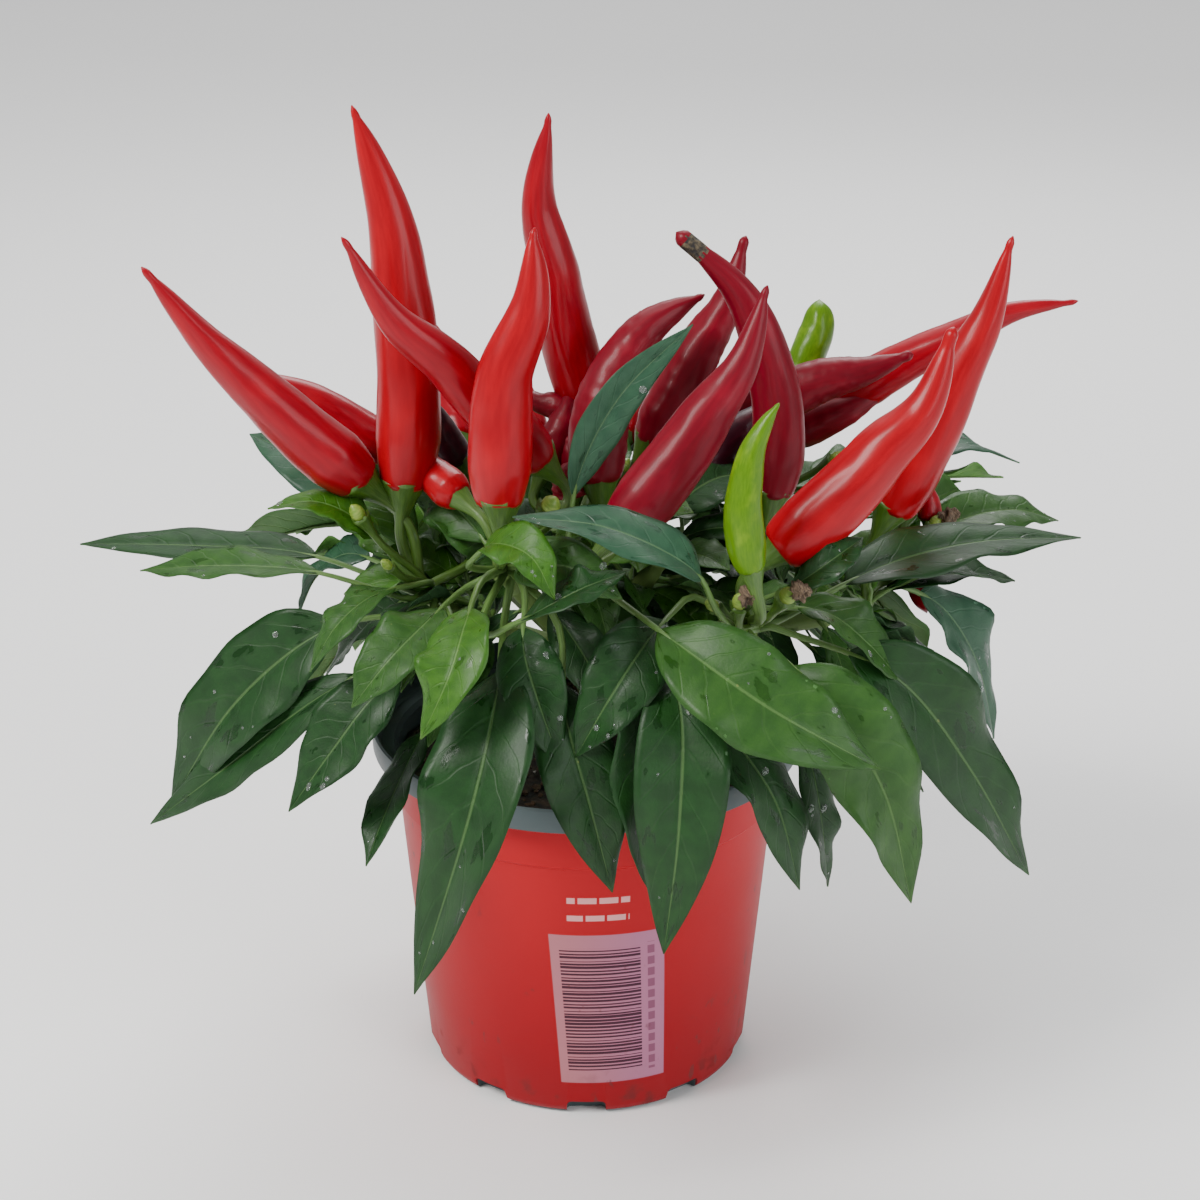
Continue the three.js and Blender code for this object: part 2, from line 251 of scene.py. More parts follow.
pot = turned("pot_body", [
    (WALL_FOOT - 3.2 * mm, 0),
    (WALL_FOOT - 1.6 * mm, 0.25 * mm),
    (WALL_FOOT - 0.6 * mm, 1.1 * mm),
    (WALL_FOOT, 2.6 * mm),
    (wall_radius(20 * mm), 20 * mm),
    (wall_radius(45 * mm), 45 * mm),
    (wall_radius(STEP_HEIGHT) - 0.1 * mm, STEP_HEIGHT),
    (wall_radius(STEP_HEIGHT) + 0.55 * mm, STEP_HEIGHT + 0.7 * mm),
    (WALL_TOP - 0.1 * mm, BAND_FOOT - 0.6 * mm),
    (WALL_TOP + 0.4 * mm, BAND_FOOT),
    (RIM_RADIUS - 1.0 * mm, BAND_FOOT + 0.1 * mm),
    (RIM_RADIUS - 0.3 * mm, BAND_FOOT + 0.5 * mm),
    (RIM_RADIUS - 0.1 * mm, BAND_FOOT + 1.2 * mm),
    (RIM_RADIUS, POT_TOP - 1.2 * mm),
    (RIM_RADIUS - 0.2 * mm, POT_TOP - 0.4 * mm),
    (RIM_RADIUS - 0.7 * mm, POT_TOP),
    (RIM_RADIUS - 1.2 * mm, POT_TOP - 0.3 * mm),
    (RIM_RADIUS - 1.4 * mm, POT_TOP - 1.2 * mm),
    (RIM_RADIUS - 1.6 * mm, BAND_FOOT + 2.2 * mm),
    (RIM_RADIUS - 2.4 * mm, BAND_FOOT + 1.5 * mm),
    (WALL_TOP - 0.2 * mm, BAND_FOOT + 1.2 * mm),
    (WALL_TOP - WALL, BAND_FOOT),
    (wall_radius(30 * mm) - WALL, 30 * mm),
    (WALL_FOOT - WALL, 3.4 * mm),
    (WALL_FOOT - 3.4 * mm, WALL),
], POT_SIDES, True)

DRAINS = 10
for k in range(DRAINS):
    bpy.ops.object.select_all(action="DESELECT")
    turn = math.tau * (k + 0.5) / DRAINS
    bpy.ops.mesh.primitive_cube_add(
        size=1, location=(WALL_FOOT * math.cos(turn), WALL_FOOT * math.sin(turn), 0),
        rotation=(0, 0, turn), scale=(8 * mm, 9.4 * mm, 7.8 * mm))
    cutter = bpy.context.object
    rounding = cutter.modifiers.new("rounding", "BEVEL")
    rounding.width = 1.2 * mm
    rounding.segments = 3
    cut = pot.modifiers.new("drain", "BOOLEAN")
    cut.operation = "DIFFERENCE"
    cut.object = cutter
    bpy.context.view_layer.objects.active = pot
    bpy.ops.object.modifier_apply(modifier="drain")
    bpy.data.objects.remove(cutter)
bpy.ops.object.select_all(action="DESELECT")
pot.select_set(True)
bpy.context.view_layer.objects.active = pot
bpy.ops.object.shade_smooth_by_angle(angle=math.radians(32))

pot_finish, pot_shader, shade = new_finish("printed_pot", 0.45, Specular_IOR_Level=0.15)
point, x, y, z = place_of(shade)
around = shade.math("ARCTAN2", x, 0 - y)
cloud = shade.noise(point, 26, 4)
# Painted light: the red darkens towards the foot and lightens towards the top, mixed with random cloudy
# tone.
painted_top_light = z.step(4 * mm, 78 * mm)
low_red = (0.24, 0.0016, 0.0065)
high_red = (0.46, 0.0080, 0.0140)
red = shade.mix(painted_top_light * 0.75 + cloud * 0.25, low_red, high_red)
# Painted highlight: the upper wall turns towards coral on its lit side.
lit_side_coral = (0.60, 0.026, 0.036)
lit_side = around.step(0.25, 1.1) * z.step(50 * mm, 80 * mm)
red = shade.mix(lit_side * 0.55, red, lit_side_coral)

LABEL_LEFT, LABEL_RIGHT = -0.20, 0.42
LABEL_FOOT, LABEL_TOP = 9.5 * mm, 52 * mm
lean = around - (52 * mm - z) * 1.2
label = (lean.step(LABEL_LEFT, LABEL_LEFT + 0.006) * (1 - lean.step(LABEL_RIGHT, LABEL_RIGHT + 0.006))
         * z.step(LABEL_FOOT, LABEL_FOOT + 0.2 * mm) * (1 - z.step(LABEL_TOP, LABEL_TOP + 0.2 * mm)))
label_tone = shade.mix(lean.step(LABEL_LEFT, LABEL_RIGHT), (0.40, 0.150, 0.175), (0.40, 0.155, 0.255))
print_color = shade.mix(label, red, label_tone)

rung = shade.add("ShaderNodeCombineXYZ", None, {"Z": shade.math("FLOOR", z / (0.95 * mm))})
thick = shade.add("ShaderNodeTexWhiteNoise", {"noise_dimensions": "3D"}, {"Vector": rung})
bar_share = shade.math("FRACT", z / (0.95 * mm))
bars = shade.math("LESS_THAN", bar_share, thick * 0.60 + 0.22)
bar_window = (lean.step(-0.15, -0.146) * (1 - lean.step(0.285, 0.289))
              * z.step(13.2 * mm, 13.3 * mm) * (1 - z.step(48.4 * mm, 48.5 * mm)))
print_color = shade.mix(bars * bar_window * 0.95, print_color, (0.035, 0.008, 0.018))

dot_row = shade.math("FRACT", z / (3.2 * mm)).step(0.28, 0.3)
dots = dot_row * lean.step(0.325, 0.328) * (1 - lean.step(0.365, 0.368))
dot_window = z.step(12 * mm, 12.1 * mm) * (1 - z.step(49 * mm, 49.1 * mm))
print_color = shade.mix(dots * dot_window * 0.75, print_color, (0.17, 0.045, 0.09))

line_row = shade.math("FRACT", (z - 56 * mm) / (4.8 * mm))
line_row = shade.math("LESS_THAN", line_row, 0.33)
words = shade.math("FRACT", around * 9 + shade.math("FLOOR", (z - 56 * mm) / (4.8 * mm)) * 0.37)
lines = (line_row * z.step(56 * mm, 56.1 * mm) * (1 - z.step(64 * mm, 64.1 * mm))
         * around.step(-0.10, -0.095) * (1 - around.step(0.225, 0.23)) * (1 - words.step(0.86, 0.88)))
print_color = shade.mix(lines * 0.75, print_color, (0.80, 0.42, 0.42))

speck_zone = shade.noise(point, 40, 2).step(0.52, 0.60)
speck = shade.noise(point, 380, 2, (1, 1, 0.55)).step(0.63, 0.70) * speck_zone
foot_dirt = shade.noise(point, 150, 5).step(0.56, 0.70) * (1 - z.step(3 * mm, 16 * mm))
print_color = shade.mix(speck * 0.6 + foot_dirt * 0.6, print_color, (0.10, 0.030, 0.028))

radius = shade.math("SQRT", x * x + y * y)
outer_wall = (radius - (z - 2.4 * mm) * (WALL_TOP - WALL_FOOT) / (BAND_FOOT - 2.4 * mm)).step(
    WALL_FOOT - 1.0 * mm, WALL_FOOT - 0.7 * mm) * (1 - z.step(BAND_FOOT - 0.5 * mm, BAND_FOOT - 0.3 * mm))
grey = shade.mix(cloud, (0.060, 0.080, 0.085), (0.095, 0.120, 0.125))
smear = shade.noise(point, 60, 4).step(0.55, 0.75)
grey = shade.mix(smear * 0.35, grey, (0.19, 0.17, 0.15))
wire(shade, pot_shader, shade.mix(outer_wall * z.step(0.6 * mm, 1.2 * mm), grey, print_color),
     0.34 + cloud * 0.2 + foot_dirt * 0.3, cloud * 0.5 + shade.noise(point, 900, 2) * 0.12, 0.4 * mm, 0.35)
pot.data.materials.append(pot_finish)
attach(pot, "root")
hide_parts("pot")


# ---- Compost ----
# Damp peat-free compost, pressed loosely into the pot a finger's breadth under the rim,
# with crumbs of bark and a few pale grains of perlite on it.

SOIL_LOW, SOIL_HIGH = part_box("compost")
SOIL_TOP = SOIL_HIGH.z
SOIL_RINGS = 30
compost = turned("compost_bed", [
    (WALL_FOOT - 5.2 * mm, SOIL_LOW.z + 0.2 * mm),
    (WALL_FOOT - 2.6 * mm, 8 * mm),
    (wall_radius(SOIL_TOP - 4 * mm) - 2.2 * mm, SOIL_TOP - 4 * mm),
    (wall_radius(SOIL_TOP) - 2.0 * mm, SOIL_TOP - 1.2 * mm),
    *[((wall_radius(SOIL_TOP) - 3.0 * mm) * (1 - k / SOIL_RINGS) + 0.8 * mm, SOIL_TOP - 0.8 * mm)
      for k in range(SOIL_RINGS)],
], 110, True)
for vertex in compost.data.vertices:
    if vertex.co.z > SOIL_TOP - 1.5 * mm:
        lumps = noise.fractal(vertex.co * 160, 0.9, 2.2, 4) + 0.6 * noise.noise(vertex.co * 45)
        dip = 1.4 * mm * max(0.0, 1 - vertex.co.xy.length / (30 * mm))
        vertex.co.z += max(-1.8, min(1.5, 1.1 * lumps)) * mm - dip
bpy.ops.object.select_all(action="DESELECT")
compost.select_set(True)
bpy.context.view_layer.objects.active = compost
bpy.ops.object.shade_smooth()

soil_finish, soil_shader, shade = new_finish("damp_compost", 0.85)
point, x, y, z = place_of(shade)
crumb = shade.noise(point, 420, 5)
patch = shade.noise(point, 60, 3)
soil_color = shade.mix(crumb.step(0.35, 0.7), (0.008, 0.006, 0.005), (0.055, 0.036, 0.022))
soil_color = shade.mix(patch.step(0.55, 0.75) * 0.5, soil_color, (0.085, 0.055, 0.03))
wire(shade, soil_shader, soil_color, 0.6 + crumb * 0.35, crumb, 1.2 * mm, 0.8)
compost.data.materials.append(soil_finish)
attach(compost, "root")
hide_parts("compost")


def joined_piece(name, parts, finishes, nodes=(), smooth=True):
    """One piece from parts, each (points, faces, finish number per face, map corners or None)."""
    points, faces, numbers, corners = [], [], [], []
    start = 0
    for part_points, part_faces, part_numbers, part_corners in parts:
        points.append(np.asarray(part_points))
        faces += [[start + i for i in face] for face in part_faces]
        numbers += list(part_numbers)
        corners += [] if part_corners is None else list(part_corners)
        start += len(part_points)
    mesh = bpy.data.meshes.new(name)
    mesh.from_pydata(np.concatenate(points).tolist(), [], faces)
    mesh.polygons.foreach_set("material_index", numbers)
    mesh.polygons.foreach_set("use_smooth", [smooth] * len(faces))
    if corners:
        layer = mesh.uv_layers.new(name="OFBake")
        layer.data.foreach_set("uv", np.array(corners, np.float32).ravel())
    for finish in finishes:
        mesh.materials.append(finish)
    mesh.update()
    made = bpy.data.objects.new(name, mesh)
    bpy.context.scene.collection.objects.link(made)
    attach(made, "root")
    if nodes:
        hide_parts(*nodes)
    return made


def pebble(place, size, seed):
    """A small broken grain."""
    grain = bmesh.new()
    bmesh.ops.create_icosphere(grain, subdivisions=1, radius=1)
    chance = random.Random(seed)
    stretch = Vector((chance.uniform(0.6, 1.5), chance.uniform(0.6, 1.2), chance.uniform(0.4, 0.9)))
    turn = chance.uniform(0, math.tau)
    points = []
    for vertex in grain.verts:
        co = vertex.co * chance.uniform(0.75, 1.15)
        co = Vector((co.x * stretch.x, co.y * stretch.y, co.z * stretch.z)) * size
        points.append(Vector((co.x * math.cos(turn) - co.y * math.sin(turn),
                              co.x * math.sin(turn) + co.y * math.cos(turn), co.z)) + place)
    faces = [[v.index for v in face.verts] for face in grain.faces]
    grain.free()
    return points, faces


crumb_finish, crumb_shader, shade = new_finish("bark_crumbs", 0.8)
point, x, y, z = place_of(shade)
grain_tone = shade.noise(point, 300, 3)
wire(shade, crumb_shader, shade.mix(grain_tone, (0.018, 0.011, 0.007), (0.12, 0.065, 0.03)),
     0.65 + grain_tone * 0.3, grain_tone, 0.4 * mm, 0.6)
perlite_finish, perlite_shader, shade = new_finish("pale_grains", 0.9)
point, x, y, z = place_of(shade)
wire(shade, perlite_shader, shade.mix(shade.noise(point, 500, 3), (0.28, 0.26, 0.22), (0.6, 0.58, 0.52)))
chance = random.Random(41)
crumbs = []
for k in range(620):
    reach = (wall_radius(SOIL_TOP) - 4 * mm) * math.sqrt(chance.random())
    turn = chance.uniform(0, math.tau)
    size = chance.uniform(0.35, 1.25) * mm * (1.5 if k % 19 == 0 else 1)
    place = Vector((reach * math.cos(turn), reach * math.sin(turn), SOIL_TOP - 0.6 * mm + 0.3 * size))
    points, faces = pebble(place, size, k)
    pale = 1 if k % 13 == 0 else 0
    crumbs.append((np.array(points), faces, [pale] * len(faces), None))
joined_piece("compost_crumbs", crumbs, [crumb_finish, perlite_finish], smooth=False)


# ---- Stem and boughs ----
# One green stem, corky and brown at the flared foot, divides a little above the rim into boughs
# that are ribbed and green. Each keeps its own bend, swelling a little at its tip.

FORK = Vector(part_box("main_stem")[1])
FORK.x, FORK.y = 0, -4 * mm


def merged(node):
    """The corners of a CAD node, each with its neighbours."""
    mesh = bmesh.new()
    mesh.from_mesh(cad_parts[node].data)
    bmesh.ops.remove_doubles(mesh, verts=mesh.verts, dist=0.001 * mm)
    mesh.verts.ensure_lookup_table()
    near = {v.index: [e.other_vert(v).index for e in v.link_edges] for v in mesh.verts}
    points = [v.co.copy() for v in mesh.verts]
    mesh.free()
    return points, near


def rings_from_tip(node, tip_corners):
    """Middle and mean radius of each ring of corners, from the far end of a limb inwards."""
    points, near = merged(node)
    far = max(points, key=lambda p: (p - FORK).length)
    tip = sorted(range(len(points)), key=lambda i: (points[i] - far).length)[:tip_corners]
    level = set(tip)
    seen = set(level)
    rings = []
    while level:
        middle = sum((points[i] for i in level), Vector()) / len(level)
        size = sum((points[i] - middle).length for i in level) / len(level)
        rings.append((middle, size))
        level = {j for i in level for j in near[i]} - seen
        seen |= level
    return rings


def smooth_line(knots, count):
    """count rows along a soft curve through the knots, which may hold more than three numbers."""
    knots = np.array(knots, float)
    padded = np.vstack([2 * knots[0] - knots[1], knots, 2 * knots[-1] - knots[-2]])
    rows = []
    for t in np.linspace(0, len(knots) - 1, count):
        k = min(int(t), len(knots) - 2)
        f = t - k
        a, b, c, d = padded[k:k + 4]
        rows.append(0.5 * (2 * b + (c - a) * f + (2 * a - 5 * b + 4 * c - d) * f * f
                           + (3 * b - a - 3 * c + d) * f ** 3))
    return np.array(rows)


def frames_along(line, sideways):
    """A side and an up direction at each point of a line, turned as little as may be."""
    tangents = np.gradient(line, axis=0)
    tangents /= np.linalg.norm(tangents, axis=1)[:, None]
    side = np.array(sideways, float)
    sides = []
    for tangent in tangents:
        side = side - tangent * (side @ tangent)
        side /= np.linalg.norm(side)
        sides.append(side)
    sides = np.array(sides)
    return sides, np.cross(sides, tangents)


def tile_of(number, columns=2, rows=2):
    """One part's own tile of the map: left, foot, width, height."""
    margin = 0.01
    return ((number % columns) / columns + margin, (number // columns) / rows + margin,
            1 / columns - 2 * margin, 1 / rows - 2 * margin)


def creases(angles, scale, height):
    """Soft noise round a limb at one height of it, one value for each angle."""
    return np.array([noise.noise(Vector((scale * math.cos(a), scale * math.sin(a), height)))
                     for a in angles])


def limb(line, sides_count, radius_at, sideways=(1, 0.13, 0.07), finish=0, tile=(0, 0, 1, 1)):
    """A closed round limb. radius_at(k, angles) gives its radii at point k of the line."""
    sides, ups = frames_along(line, sideways)
    angles = np.linspace(0, math.tau, sides_count, endpoint=False)
    rings = [line[k] + radius_at(k, angles)[:, None]
             * (np.cos(angles)[:, None] * sides[k] + np.sin(angles)[:, None] * ups[k])
             for k in range(len(line))]
    points = np.concatenate([*rings, line[:1], line[-1:]])
    faces, corners = [], []
    last = len(line) - 1
    left, foot, width, height = tile
    for k in range(last):
        for j in range(sides_count):
            i = (j + 1) % sides_count
            faces.append((k * sides_count + j, (k + 1) * sides_count + j,
                          (k + 1) * sides_count + i, k * sides_count + i))
            u0, u1 = left + width * j / sides_count, left + width * (j + 1) / sides_count
            v0, v1 = foot + height * k / last, foot + height * (k + 1) / last
            corners += [(u0, v0), (u0, v1), (u1, v1), (u1, v0)]
    base, tip = len(points) - 2, len(points) - 1
    for j in range(sides_count):
        i = (j + 1) % sides_count
        u0, u1 = left + width * j / sides_count, left + width * (j + 1) / sides_count
        faces.append((base, j, i))
        corners += [((u0 + u1) / 2, foot), (u0, foot + 0.01 * height), (u1, foot + 0.01 * height)]
        faces.append((tip, last * sides_count + i, last * sides_count + j))
        top = foot + height
        corners += [((u0 + u1) / 2, top), (u1, top - 0.01 * height), (u0, top - 0.01 * height)]
    return points, faces, [finish] * len(faces), corners


BOUGH_SIDES, BOUGH_ROWS = 18, 34
wood_limbs = []
stem_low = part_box("main_stem")[0]
stem_line = smooth_line([
    (1 * mm, 1 * mm, stem_low.z - 1.5 * mm), (1 * mm, 1 * mm, stem_low.z + 6 * mm),
    (1 * mm, -1 * mm, stem_low.z + 16 * mm), (FORK.x, FORK.y, FORK.z + 1 * mm)], 26)


def stem_radius(k, angles):
    flare = math.exp(-k * 0.34)
    ribs = 1 + (0.05 + 0.22 * flare) * np.cos(5 * angles + 0.06 * k) + 0.04 * np.cos(11 * angles)
    return (3.1 + 2.9 * flare) * mm * (ribs + 0.10 * creases(angles, 3, k * 0.5))


wood_limbs.append(limb(stem_line, 40, stem_radius, tile=tile_of(0, 4, 3)))
BOUGHS = [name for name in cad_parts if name.startswith("bough_")]
bough_tips = {}
for number, name in enumerate(BOUGHS):
    rings = [ring for ring in rings_from_tip(name, 1) if (ring[0] - FORK).length > 9 * mm]
    knots = [rings[0][0]] + [ring[0] for ring in rings[1:3]] + [FORK.copy()]
    line = smooth_line([tuple(knot) for knot in reversed(knots)], BOUGH_ROWS)
    bough_tips[name[6:]] = Vector(line[-1])

    def bough_radius(k, angles, number=number):
        share = k / (BOUGH_ROWS - 1)
        swell = 0.35 * math.exp(-((share - 1) / 0.08) ** 2) + 0.22 * math.exp(-((share - 0.55) / 0.05) ** 2)
        ribs = 1 + 0.09 * np.cos(5 * angles + number)
        wobble = 1 + 0.06 * noise.noise(Vector((number * 7.1, k * 0.35, 0)))
        return (2.55 - 0.85 * share) * mm * (1 + swell) * ribs * wobble

    wood_limbs.append(limb(line, BOUGH_SIDES, bough_radius, tile=tile_of(number + 1, 4, 3)))

stem_finish, stem_shader, shade = new_finish("green_stem", 0.55)
point, x, y, z = place_of(shade)
streak = shade.noise(point, 260, 4, (1, 1, 0.25))
cork = 1 - z.step(84 * mm, 104 * mm)
green = shade.mix(streak, (0.075, 0.135, 0.028), (0.155, 0.245, 0.060))
bark = shade.mix(streak, (0.055, 0.038, 0.02), (0.21, 0.165, 0.095))
wire(shade, stem_shader, shade.mix(cork * 0.85, green, bark), 0.45 + streak * 0.3,
     streak + cork * shade.noise(point, 700, 4), 0.5 * mm, 0.5)
joined_piece("stem_and_boughs", wood_limbs, [stem_finish], ["main_stem", *BOUGHS])


# ---- Fruits ----
# Upright tapering peppers with taut waxy skin. Most are ripe red, two are still lime green,
# some have begun to wrinkle, and one is scarred black near its tip.

FRUIT_ROWS, FRUIT_SIDES = 72, 30
SCARLET, RED, CRIMSON, MAROON, SCAR = range(5)
# Each fruit's skin, how wrinkled and how full it is, and the bend below its tip, in millimetres
FRUIT_LOOK = {
    "far_left": (RED, 0.0, 2.0, (0, 0, -0.6)),
    "tall_left": (SCARLET, 0.0, 3.4, (0.8, 0, 0)),
    "left_leaning": (RED, 0.1, 2.3, (-1.8, 0, -1.8)),
    "front_hooked": (SCARLET, 0.0, 3.2, (3.0, 0, 0)),
    "tall_middle": (RED, 0.25, 2.8, (-2.2, 0, 0)),
    "dried": (CRIMSON, 1.6, 2.2, (0, 0, 0)),
    "middle_arched": (CRIMSON, 0.9, 3.0, (0, 0, 1.0)),
    "middle_back": (CRIMSON, 0.8, 2.6, (1.0, 0, -1.0)),
    "scarred": (CRIMSON, 0.35, 2.8, (0.8, 0, 0.8)),
    "front_right_leaning": (CRIMSON, 0.3, 2.4, (1.2, 0, -1.2)),
    "maroon": (MAROON, 0.3, 2.2, (0, 0, 0)),
    "wrinkled_right": (CRIMSON, 1.0, 2.6, (0, 0, -1.2)),
    "broad_right": (SCARLET, 0.05, 2.6, (1.6, 0, -1.6)),
    "far_right_back": (RED, 0.3, 1.8, (0, 0, 1.2)),
    "right_upright": (SCARLET, 0.0, 2.2, (1.0, 0, -0.6)),
    "left_back": (RED, 0.1, 2.0, (0, 0, -1)),
    "small_orange": (SCARLET, 0.0, 2.6, (0, 0, 0)),
    "hidden_back_left": (RED, 0.2, 2.3, (1, 0, 0)),
    "hidden_back": (RED, 0.1, 2.3, (1, 0, 1)),
    "green_front": (0, 0.0, 3.0, (-0.4, 0, 0)),
    "green_back": (0, 0.0, 9.0, (0.6, 0, 0)),
}
FACET_GAIN = 1.07  # the frame's six-sided rings are this much wider than the round fruits
# How blunt a tip is, where it isn't 0.13, and how thick a fruit is beside the frame's solid
FRUIT_TIP = {"scarred": 0.32, "middle_back": 0.2, "broad_right": 0.2, "wrinkled_right": 0.2}
FRUIT_GIRTH = {"green_front": 0.76, "green_back": 0.95, "left_leaning": 0.95}
SMALLEST = "chilli_small_orange"
SMALLEST_BASE = Vector((-28, -24, 152)) * mm
SMALLEST_TIP = Vector((-44, -9, 161)) * mm

fruit_places = {}
ripe_parts, unripe_parts = [], []
FRUITS = [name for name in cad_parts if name.startswith("chilli_")]
for number, name in enumerate(FRUITS):
    skin, wrinkle, fullness, hook = FRUIT_LOOK[name[7:]]
    rings = rings_from_tip(name, 6)[:9]
    knots = [(*ring[0], ring[1] / FACET_GAIN) for ring in reversed(rings)]
    if name == SMALLEST:
        knots = [(*SMALLEST_BASE.lerp(SMALLEST_TIP, k / 8), girth * mm)
                 for k, girth in enumerate((3.0, 4.4, 4.6, 4.5, 4.2, 3.7, 2.9, 1.9, 0.4))]
    rows = smooth_line(knots, FRUIT_ROWS)
    share = np.linspace(0, 1, FRUIT_ROWS)
    bend = np.sin(math.pi * np.clip((share - 0.45) / 0.55, 0, 1)) ** 2
    line = rows[:, :3] + bend[:, None] * np.array(hook) * mm
    blunt = FRUIT_TIP.get(name[7:], 0.13) * np.sqrt(np.clip((1 - share) / 0.03, 0, 1))
    taper = np.maximum(1 - share ** fullness, blunt)
    shoulder = 0.62 + 0.38 * np.clip(share / 0.13, 0, 1) ** 0.5
    girth = rows[:, 3].max() * np.maximum(taper * shoulder, 0.02) * FRUIT_GIRTH.get(name[7:], 1)
    seed = Vector((number * 3.7, 1.3, 0.4))

    def fruit_radius(k, angles, girth=girth, wrinkle=wrinkle, seed=seed, number=number):
        s = k / (FRUIT_ROWS - 1)
        lobes = 1 + 0.018 * np.cos(3 * angles + number + 1.5 * s) + 0.015 * np.cos(2 * angles - number)
        dents, folds = [], []
        for a in angles:
            spot = Vector((math.cos(a), math.sin(a), 3.4 * s)) + seed
            dents.append(noise.noise(spot * 1.3) + 0.35 * noise.noise(spot * 3.1))
            folds.append(noise.noise(Vector((2.2 * math.cos(a), 2.2 * math.sin(a), 26 * s)) + seed))
        wear = 0.075 * np.array(dents) + wrinkle * 0.05 * np.array(folds)
        return girth[k] * (lobes + wear)

    fruit_places[name[7:]] = (line, girth, skin)
    green_one = "green" in name
    tile = tile_of(skin) if not green_one else (0.01, 0.01, 0.98, 0.98)
    part = limb(line, FRUIT_SIDES, fruit_radius, finish=0 if green_one else skin, tile=tile)
    (unripe_parts if green_one else ripe_parts).append(part)
    if name.endswith("scarred"):
        for index in range((FRUIT_ROWS - 1) * FRUIT_SIDES):
            row, column = divmod(index, FRUIT_SIDES)
            edge = 1.6 * noise.noise(Vector((column * 0.5, row * 0.4, 2)))
            if FRUIT_ROWS - 10 + edge < row < FRUIT_ROWS - 4.5 + edge:
                part[2][index] = SCAR


def skin_finish(name, low, high, flush, coat, rough):
    """Waxy fruit skin: long faint streaks and, in places, a paler flush."""
    material, shader, shade = new_finish(name, rough, Coat_Weight=coat, Coat_Roughness=0.12,
                                         Specular_IOR_Level=0.2)
    where = shade.add("ShaderNodeUVMap", {"uv_map": "OFBake"})
    streaks = shade.noise(where, 22, 4, (3.0, 0.7, 1))
    blotch = shade.noise(where, 7, 3)
    color = shade.mix(streaks.step(0.10, 1.0) * 0.8, low, high)
    color = shade.mix(blotch.step(0.50, 0.75) * 0.4, color, flush)
    wire(shade, shader, color, rough + streaks * 0.07 + blotch * 0.06,
         streaks * 0.35 + shade.noise(where, 60, 3) * 0.4, 0.25 * mm, 0.22)
    return material


scar_finish, scar_shader, shade = new_finish("black_scar", 0.75)
where = shade.add("ShaderNodeTexCoord", out=3)
rot = shade.noise(where, 900, 4)
wire(shade, scar_shader, shade.mix(rot.step(0.35, 0.7), (0.008, 0.006, 0.006), (0.13, 0.10, 0.055)),
     0.5 + rot * 0.4, rot, 0.8 * mm, 0.9)
SKIN_TONES = [
    ("scarlet_skin", (0.28, 0.0002, 0.0060), (0.43, 0.0004, 0.0085), (0.54, 0.0016, 0.0095), 0.08, 0.24),
    ("red_skin", (0.23, 0.0002, 0.0075), (0.38, 0.0004, 0.0110), (0.49, 0.0014, 0.0120), 0.08, 0.24),
    ("crimson_skin", (0.13, 0.0002, 0.0080), (0.22, 0.0005, 0.0120), (0.32, 0.0024, 0.0200), 0.06, 0.35),
    ("maroon_skin", (0.012, 0.0010, 0.0050), (0.055, 0.0015, 0.0090), (0.11, 0.0030, 0.0110), 0.10, 0.32),
]
ripe_finishes = [*(skin_finish(*tone) for tone in SKIN_TONES), scar_finish]
lime_finish = skin_finish(
    "lime_skin", (0.060, 0.155, 0.002), (0.125, 0.255, 0.003), (0.24, 0.40, 0.008), 0.08, 0.24)
RIPE_NODES = [name for name in FRUITS if "green" not in name]
UNRIPE_NODES = [name for name in FRUITS if "green" in name]
joined_piece("ripe_fruits", ripe_parts, ripe_finishes, RIPE_NODES)
joined_piece("unripe_fruits", unripe_parts, [lime_finish], UNRIPE_NODES)


# ---- Fruit stalks ----
# Each fruit stands on a ribbed green stalk that thickens into its calyx, a small toothed cup
# that grips the fruit's shoulder. The stalk leaves its bough's swollen tip in a curve.

STALK_ROWS = 30
CUP_ROWS = 12  # the last rows, which are the cup
stalk_parts = []
BOUGH_OF = {
    "far_left": "left", "tall_left": "left", "left_leaning": "front", "front_hooked": "front",
    "tall_middle": "middle", "dried": "middle", "middle_arched": "middle", "middle_back": "right_middle",
    "scarred": "right_front", "front_right_leaning": "right_middle", "maroon": "right_middle",
    "wrinkled_right": "back_right", "broad_right": "right_front", "far_right_back": "back_right",
    "right_upright": "right", "green_front": "right_front", "green_back": "back_right",
    "left_back": "back_left", "small_orange": "front", "hidden_back_left": "back_left",
    "hidden_back": "back",
}


def stalk_line(root, base, heading, count, pull=0.45):
    """A curve that leaves root upwards and reaches base along heading."""
    reach = (base - root).length
    first = root + (Vector((0, 0, 0.35)) + (base - root).normalized() * 0.4) * reach * 0.5
    second = base - heading * reach * pull
    t = np.linspace(0, 1, count)[:, None]
    return ((1 - t) ** 3 * np.array(root) + 3 * (1 - t) ** 2 * t * np.array(first)
            + 3 * (1 - t) * t * t * np.array(second) + t ** 3 * np.array(base))


